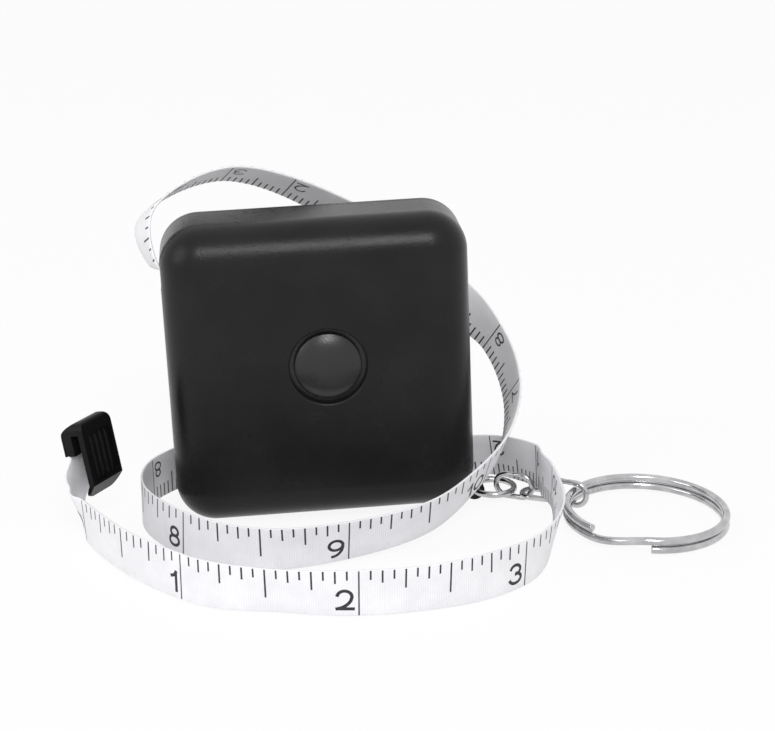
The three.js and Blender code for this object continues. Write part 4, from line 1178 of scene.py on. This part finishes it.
# where each link points, in degrees, and how far it hangs inside the one before
LINK_2_WAY, LINK_3_WAY, LINK_4_WAY, RING_WAY = -28.3, -25, -31, -36.4
LINK_2_INSIDE, LINK_3_INSIDE, LINK_4_INSIDE, RING_INSIDE = 2.75, 1.5, 1.45, 1.9
jump_middle = np.array([LUG_X - 0.25 + JUMP_RADIUS, LUG_Y, JUMP_Z])
jump_path = [jump_middle + JUMP_RADIUS * heading(a) for a in np.arange(0, 360, 4)]
link_1 = solid("jump_ring", wire(jump_path, JUMP_WIRE / 2, UP, True, nick=20))
set_down(link_1, floor_place, chrome, "link_1", "chrome_wire", "chain_link_1", angle=60)

start_2 = at(jump_middle, LINK_2_WAY, JUMP_RADIUS - LINK_2_INSIDE, STANDING_Z)
end_2 = at(start_2, LINK_2_WAY, link_loop, LYING_Z)
start_3 = at(end_2, LINK_2_WAY, -LINK_3_INSIDE, LYING_Z)
end_3 = at(start_3, LINK_3_WAY, link_loop, LYING_Z)
start_4 = at(end_3, LINK_4_WAY, -LINK_4_INSIDE, STANDING_Z)
for number, start, degrees, standing in (
    (2, start_2, LINK_2_WAY, True),
    (3, start_3, LINK_3_WAY, False),
    (4, start_4, LINK_4_WAY, True),
):
    points, axis = link_path(start, degrees, standing)
    link = solid(f"link_{number}_wire", wire(points, LINK_WIRE / 2, axis, True, nick=30))
    set_down(link, floor_place, chrome, f"link_{number}", "chrome_wire",
             f"chain_link_{number}", angle=60)

# %% [markdown]
# ## The split ring
# One wire goes nearly twice round. Where it passes from the lower turn to the
# upper one it climbs by its own thickness, and both of its ends are cut off
# and rounded. It leans on the last link, so its near side stands a little up.

# %% Wind the split ring
RING_OUTER, RING_WIRE, RING_COIL_GAP = 25.0, 1.2, 0.1
ring_radius = (RING_OUTER - RING_WIRE) / 2
coil_step = RING_WIRE + RING_COIL_GAP
ring_height = coil_step + RING_WIRE
near_z = LINK_WIRE + WIRE_GAP + ring_height / 2
lean = math.asin((near_z - ring_height / 2) / (2 * ring_radius))
ring_near = at(start_4, LINK_4_WAY, link_loop - RING_INSIDE, near_z)
ring_middle = at(
    ring_near, RING_WAY, ring_radius * math.cos(lean), near_z - ring_radius * math.sin(lean)
)
ring_ahead, ring_side = heading(RING_WAY), heading(RING_WAY + 90)


def tilt(vector, axis, angle):
    return np.array(Matrix.Rotation(angle, 3, Vector(axis)) @ Vector(vector))


ring_up = tilt(UP, ring_side, lean)
ring_out = tilt(ring_ahead, ring_side, lean)
RAMP = math.radians(45)
RING_START = math.radians(-62)
ring_path = []
for angle in np.linspace(0, 4 * math.pi - RAMP, 241):
    part = min(1, max(0, (angle - (2 * math.pi - RAMP)) / RAMP))
    climb = part * part * (3 - 2 * part)
    ring_path.append(
        ring_middle
        + ring_out * ring_radius * math.cos(RING_START + angle)
        + ring_side * ring_radius * math.sin(RING_START + angle)
        + ring_up * coil_step * (climb - 0.5)
    )
ring = solid("ring_wire", wire(ring_path, RING_WIRE / 2, ring_up, False, sides=24))
soften(ring, RING_END_EDGE, 3, 60)
set_down(ring, floor_place, chrome, "ring", "chrome_wire", "split_ring", angle=50)

# %% [markdown]
# ## Inside the case
# The roll of tape is really one long strip wound on the reel, so it is drawn
# as a spiral with an edge for each turn. From it the tape runs straight to
# the slot. Both are hidden while the case is closed.

# %% Wind the roll and lead the tape out
ROLL_INNER, WOUND_LENGTH, TURN_THICK = 8.3, 1168.0, 0.3
ROLL_RADIUS = math.sqrt(ROLL_INNER**2 + WOUND_LENGTH * TURN_THICK / math.pi)
turns_wound = (ROLL_RADIUS - ROLL_INNER) / TURN_THICK - 1
STRIP_HALF, STEPS_PER_TURN = 0.13, 60
CORNERS = ((-1, -1), (1, -1), (1, 1), (-1, 1))
roll_rings = []
roll_steps = int(turns_wound * STEPS_PER_TURN)
for angle in np.linspace(0, 2 * math.pi * turns_wound, roll_steps):
    middle = ROLL_INNER + TURN_THICK / 2 + TURN_THICK * angle / (2 * math.pi)
    ring_points = []
    for r, y in CORNERS:
        radius = middle + r * STRIP_HALF
        ring_points.append((
            REEL_X + radius * math.cos(angle), TAPE_MIDDLE_Y + y * TAPE_WIDTH / 2,
            REEL_Z + radius * math.sin(angle),
        ))
    roll_rings.append(ring_points)
roll = solid("wound_roll", skin(roll_rings))
set_down(roll, case_place, tape_cloth, "reel", "tape_white", "tape_winding")

end_x, end_z = in_case(TAPE_ROUTE[-1][0], TAPE_ROUTE[-1][2])
lead_half_width, lead_half_thick = TAPE_WIDTH / 2 - 0.02, half_thick - 0.01
lead_from = Vector((REEL_X, REEL_Z + ROLL_RADIUS + 0.15 + half_thick))
lead_to = Vector((end_x + TAPE_THICKNESS, end_z))
lead_rings = []
for share in np.linspace(0, 1, 25):
    spot = lead_from.lerp(lead_to, share)
    lead_rings.append([
        (spot.x, TAPE_MIDDLE_Y + y * lead_half_width, spot.y + z * lead_half_thick)
        for y, z in CORNERS
    ])
lead = solid("lead_to_slot", skin(lead_rings))
set_down(lead, case_place, tape_cloth, "case", "tape_white", "tape_feed")
print("turns wound:", round(turns_wound, 1), "roll radius in mm:", round(ROLL_RADIUS, 2))

# %% [markdown]
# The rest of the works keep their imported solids, and get the finish of what
# they are made of: pale moulded plastic for the reel, brass for the post,
# steel for the springs and the brake, and rubber for its pad.

# %% Finishes for the works inside
def plain_stuff(name, tones, gloss, metal, size, depth):
    finish, shader = new_finish(name, Metallic=metal)
    noise = grain(finish, size, 4.0, 0.55)
    dress(finish, shader, noise, tones, gloss)
    bumps(finish, shader, noise, depth)
    return finish


STUFFS = {
    # name: (shades, shine, how metallic, grains to the metre, depth in metres)
    "reel_plastic": ([(0.55, 0.54, 0.5), (0.62, 0.61, 0.57)], (0.4, 0.5), 0.0, 900, 3e-5),
    "spring_steel": (
        [(0.22, 0.23, 0.26), (0.34, 0.35, 0.38)], (0.25, 0.38), 1.0, 1500, 5e-6
    ),
    "brass": ([(0.56, 0.42, 0.18), (0.66, 0.5, 0.24)], (0.25, 0.36), 1.0, 1200, 6e-6),
    "steel": ([(0.42, 0.43, 0.45), (0.52, 0.53, 0.55)], (0.24, 0.34), 1.0, 1400, 6e-6),
    "rubber": ([(0.012,) * 3, (0.02,) * 3], (0.75, 0.9), 0.0, 1800, 4e-5),
}
works = {name: plain_stuff(name, *values) for name, values in STUFFS.items()}
made_of = {
    "reel_drum": "reel_plastic", "reel_cover": "reel_plastic", "arbor": "brass",
    "reel_washer": "steel", "arbor_screw": "steel", "mainspring": "spring_steel",
    "button_spring": "spring_steel", "brake_arm": "steel", "brake_pad": "rubber",
    "brake_pin": "steel", "brake_spring": "spring_steel",
}
for node, stuff in made_of.items():
    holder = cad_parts[node]
    if not holder.material_slots:
        holder.data.materials.append(works[stuff])
    for place in holder.material_slots:
        place.material = works[stuff]
print("works dressed:", len(made_of))

# %% [markdown]
# ## Floor, light and background
# The photograph has a plain white background. The floor is pale, and to the
# camera, and in mirrors, most of it is plain white light, so that only a
# faint shadow stays on it. The world is white in the same way, and gives a
# softer, plainer light to everything else.

# %% Tell which rays see the background
def seen_directly(holder):
    """1 for rays from the camera, from mirrors and through glass, else 0."""
    rays = add_node(holder, "ShaderNodeLightPath")
    total = rays.outputs["Is Camera Ray"]
    for kind in ("Is Glossy Ray", "Is Transmission Ray"):
        either = add_node(holder, "ShaderNodeMath", operation="MAXIMUM")
        join(holder, total, either.inputs[0])
        join(holder, rays.outputs[kind], either.inputs[1])
        total = either.outputs["Value"]
    return total


def blended(holder, share, first, second):
    """The first shader where the share is 0, and the second where it is 1."""
    blend = add_node(holder, "ShaderNodeMixShader")
    for source, target in zip((share, first, second), blend.inputs):
        join(holder, source, target)
    return blend.outputs["Shader"]


print("background helpers are ready")

# %% Lay the floor
FLOOR_HALF, FLOOR_DROP = 3, 0.00005  # metres; the drop keeps feet out of it
FLOOR_WHITE = 0.9  # the share of plain white light; the rest keeps the shadow
floor = raw_object(
    "floor",
    [(x * FLOOR_HALF, y * FLOOR_HALF, 0) for x, y in CORNERS],
    [(0, 1, 2, 3)],
)
floor.location.z = -FLOOR_DROP
floor_paint, floor_shader = new_finish("floor_paint", Roughness=0.9)
paper = grain(floor_paint, 600, 3.0, 0.5)
join(
    floor_paint,
    two_tone(floor_paint, paper, (0.90, 0.90, 0.90), (0.92, 0.92, 0.92)),
    floor_shader.inputs["Base Color"],
)
white_glow = add_node(floor_paint, "ShaderNodeEmission", Strength=1.0)
white_share = add_node(floor_paint, "ShaderNodeMath", operation="MULTIPLY")
white_share.inputs[1].default_value = FLOOR_WHITE
join(floor_paint, seen_directly(floor_paint), white_share.inputs[0])
join(
    floor_paint,
    blended(
        floor_paint,
        white_share.outputs["Value"],
        floor_shader.outputs["BSDF"],
        white_glow.outputs["Emission"],
    ),
    floor_paint.node_tree.nodes["Material Output"].inputs["Surface"],
)
floor.data.materials.append(floor_paint)
floor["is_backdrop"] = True
print("floor size in m:", [round(v, 1) for v in floor.dimensions])

# %% Light the world
world = bpy.data.worlds.new("white_room")
bpy.context.scene.world = world
world.use_nodes = True
world.node_tree.nodes.clear()
plain = add_node(world, "ShaderNodeBackground", Strength=0.78)
bright = add_node(
    world, "ShaderNodeBackground", Color=(1.0, 1.0, 1.0, 1.0), Strength=1.0
)
out = add_node(world, "ShaderNodeOutputWorld")
join(
    world,
    blended(
        world,
        seen_directly(world),
        plain.outputs["Background"],
        bright.outputs["Background"],
    ),
    out.inputs["Surface"],
)
print("world is lit")

# %% [markdown]
# Two soft lamps do the rest. The main one hangs in front and above, and its
# reflection draws the bright line along the case's upper edge. A weaker and
# larger one fills from the left.

# %% Hang the lamps
LAMP_TARGET = Vector((0.0, 0.0, 0.02))


def soft_lamp(name, place, size, power):
    lamp = bpy.data.lights.new(name, "AREA")
    lamp.shape = "SQUARE"
    lamp.size = size
    lamp.energy = power
    holder = bpy.data.objects.new(name, lamp)
    bpy.context.scene.collection.objects.link(holder)
    holder.location = place
    aim = LAMP_TARGET - Vector(place)
    holder.rotation_euler = aim.to_track_quat("-Z", "Y").to_euler()
    return holder


lamps = [
    soft_lamp("main_lamp", (0.02, -0.55, 0.52), 0.22, 2.2),
    soft_lamp("left_lamp", (-0.6, -0.25, 0.35), 0.4, 1.0),
]
print("lamps:", len(lamps))

# %% [markdown]
# ## Measure and finish
# The visual model is measured: its box, without the floor, is printed in
# millimetres.

# %% Measure the visual box
look_low, look_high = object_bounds()
look_size = [round((b - a) / MM, 1) for a, b in zip(look_low, look_high)]
print("visual box in mm:", look_size)
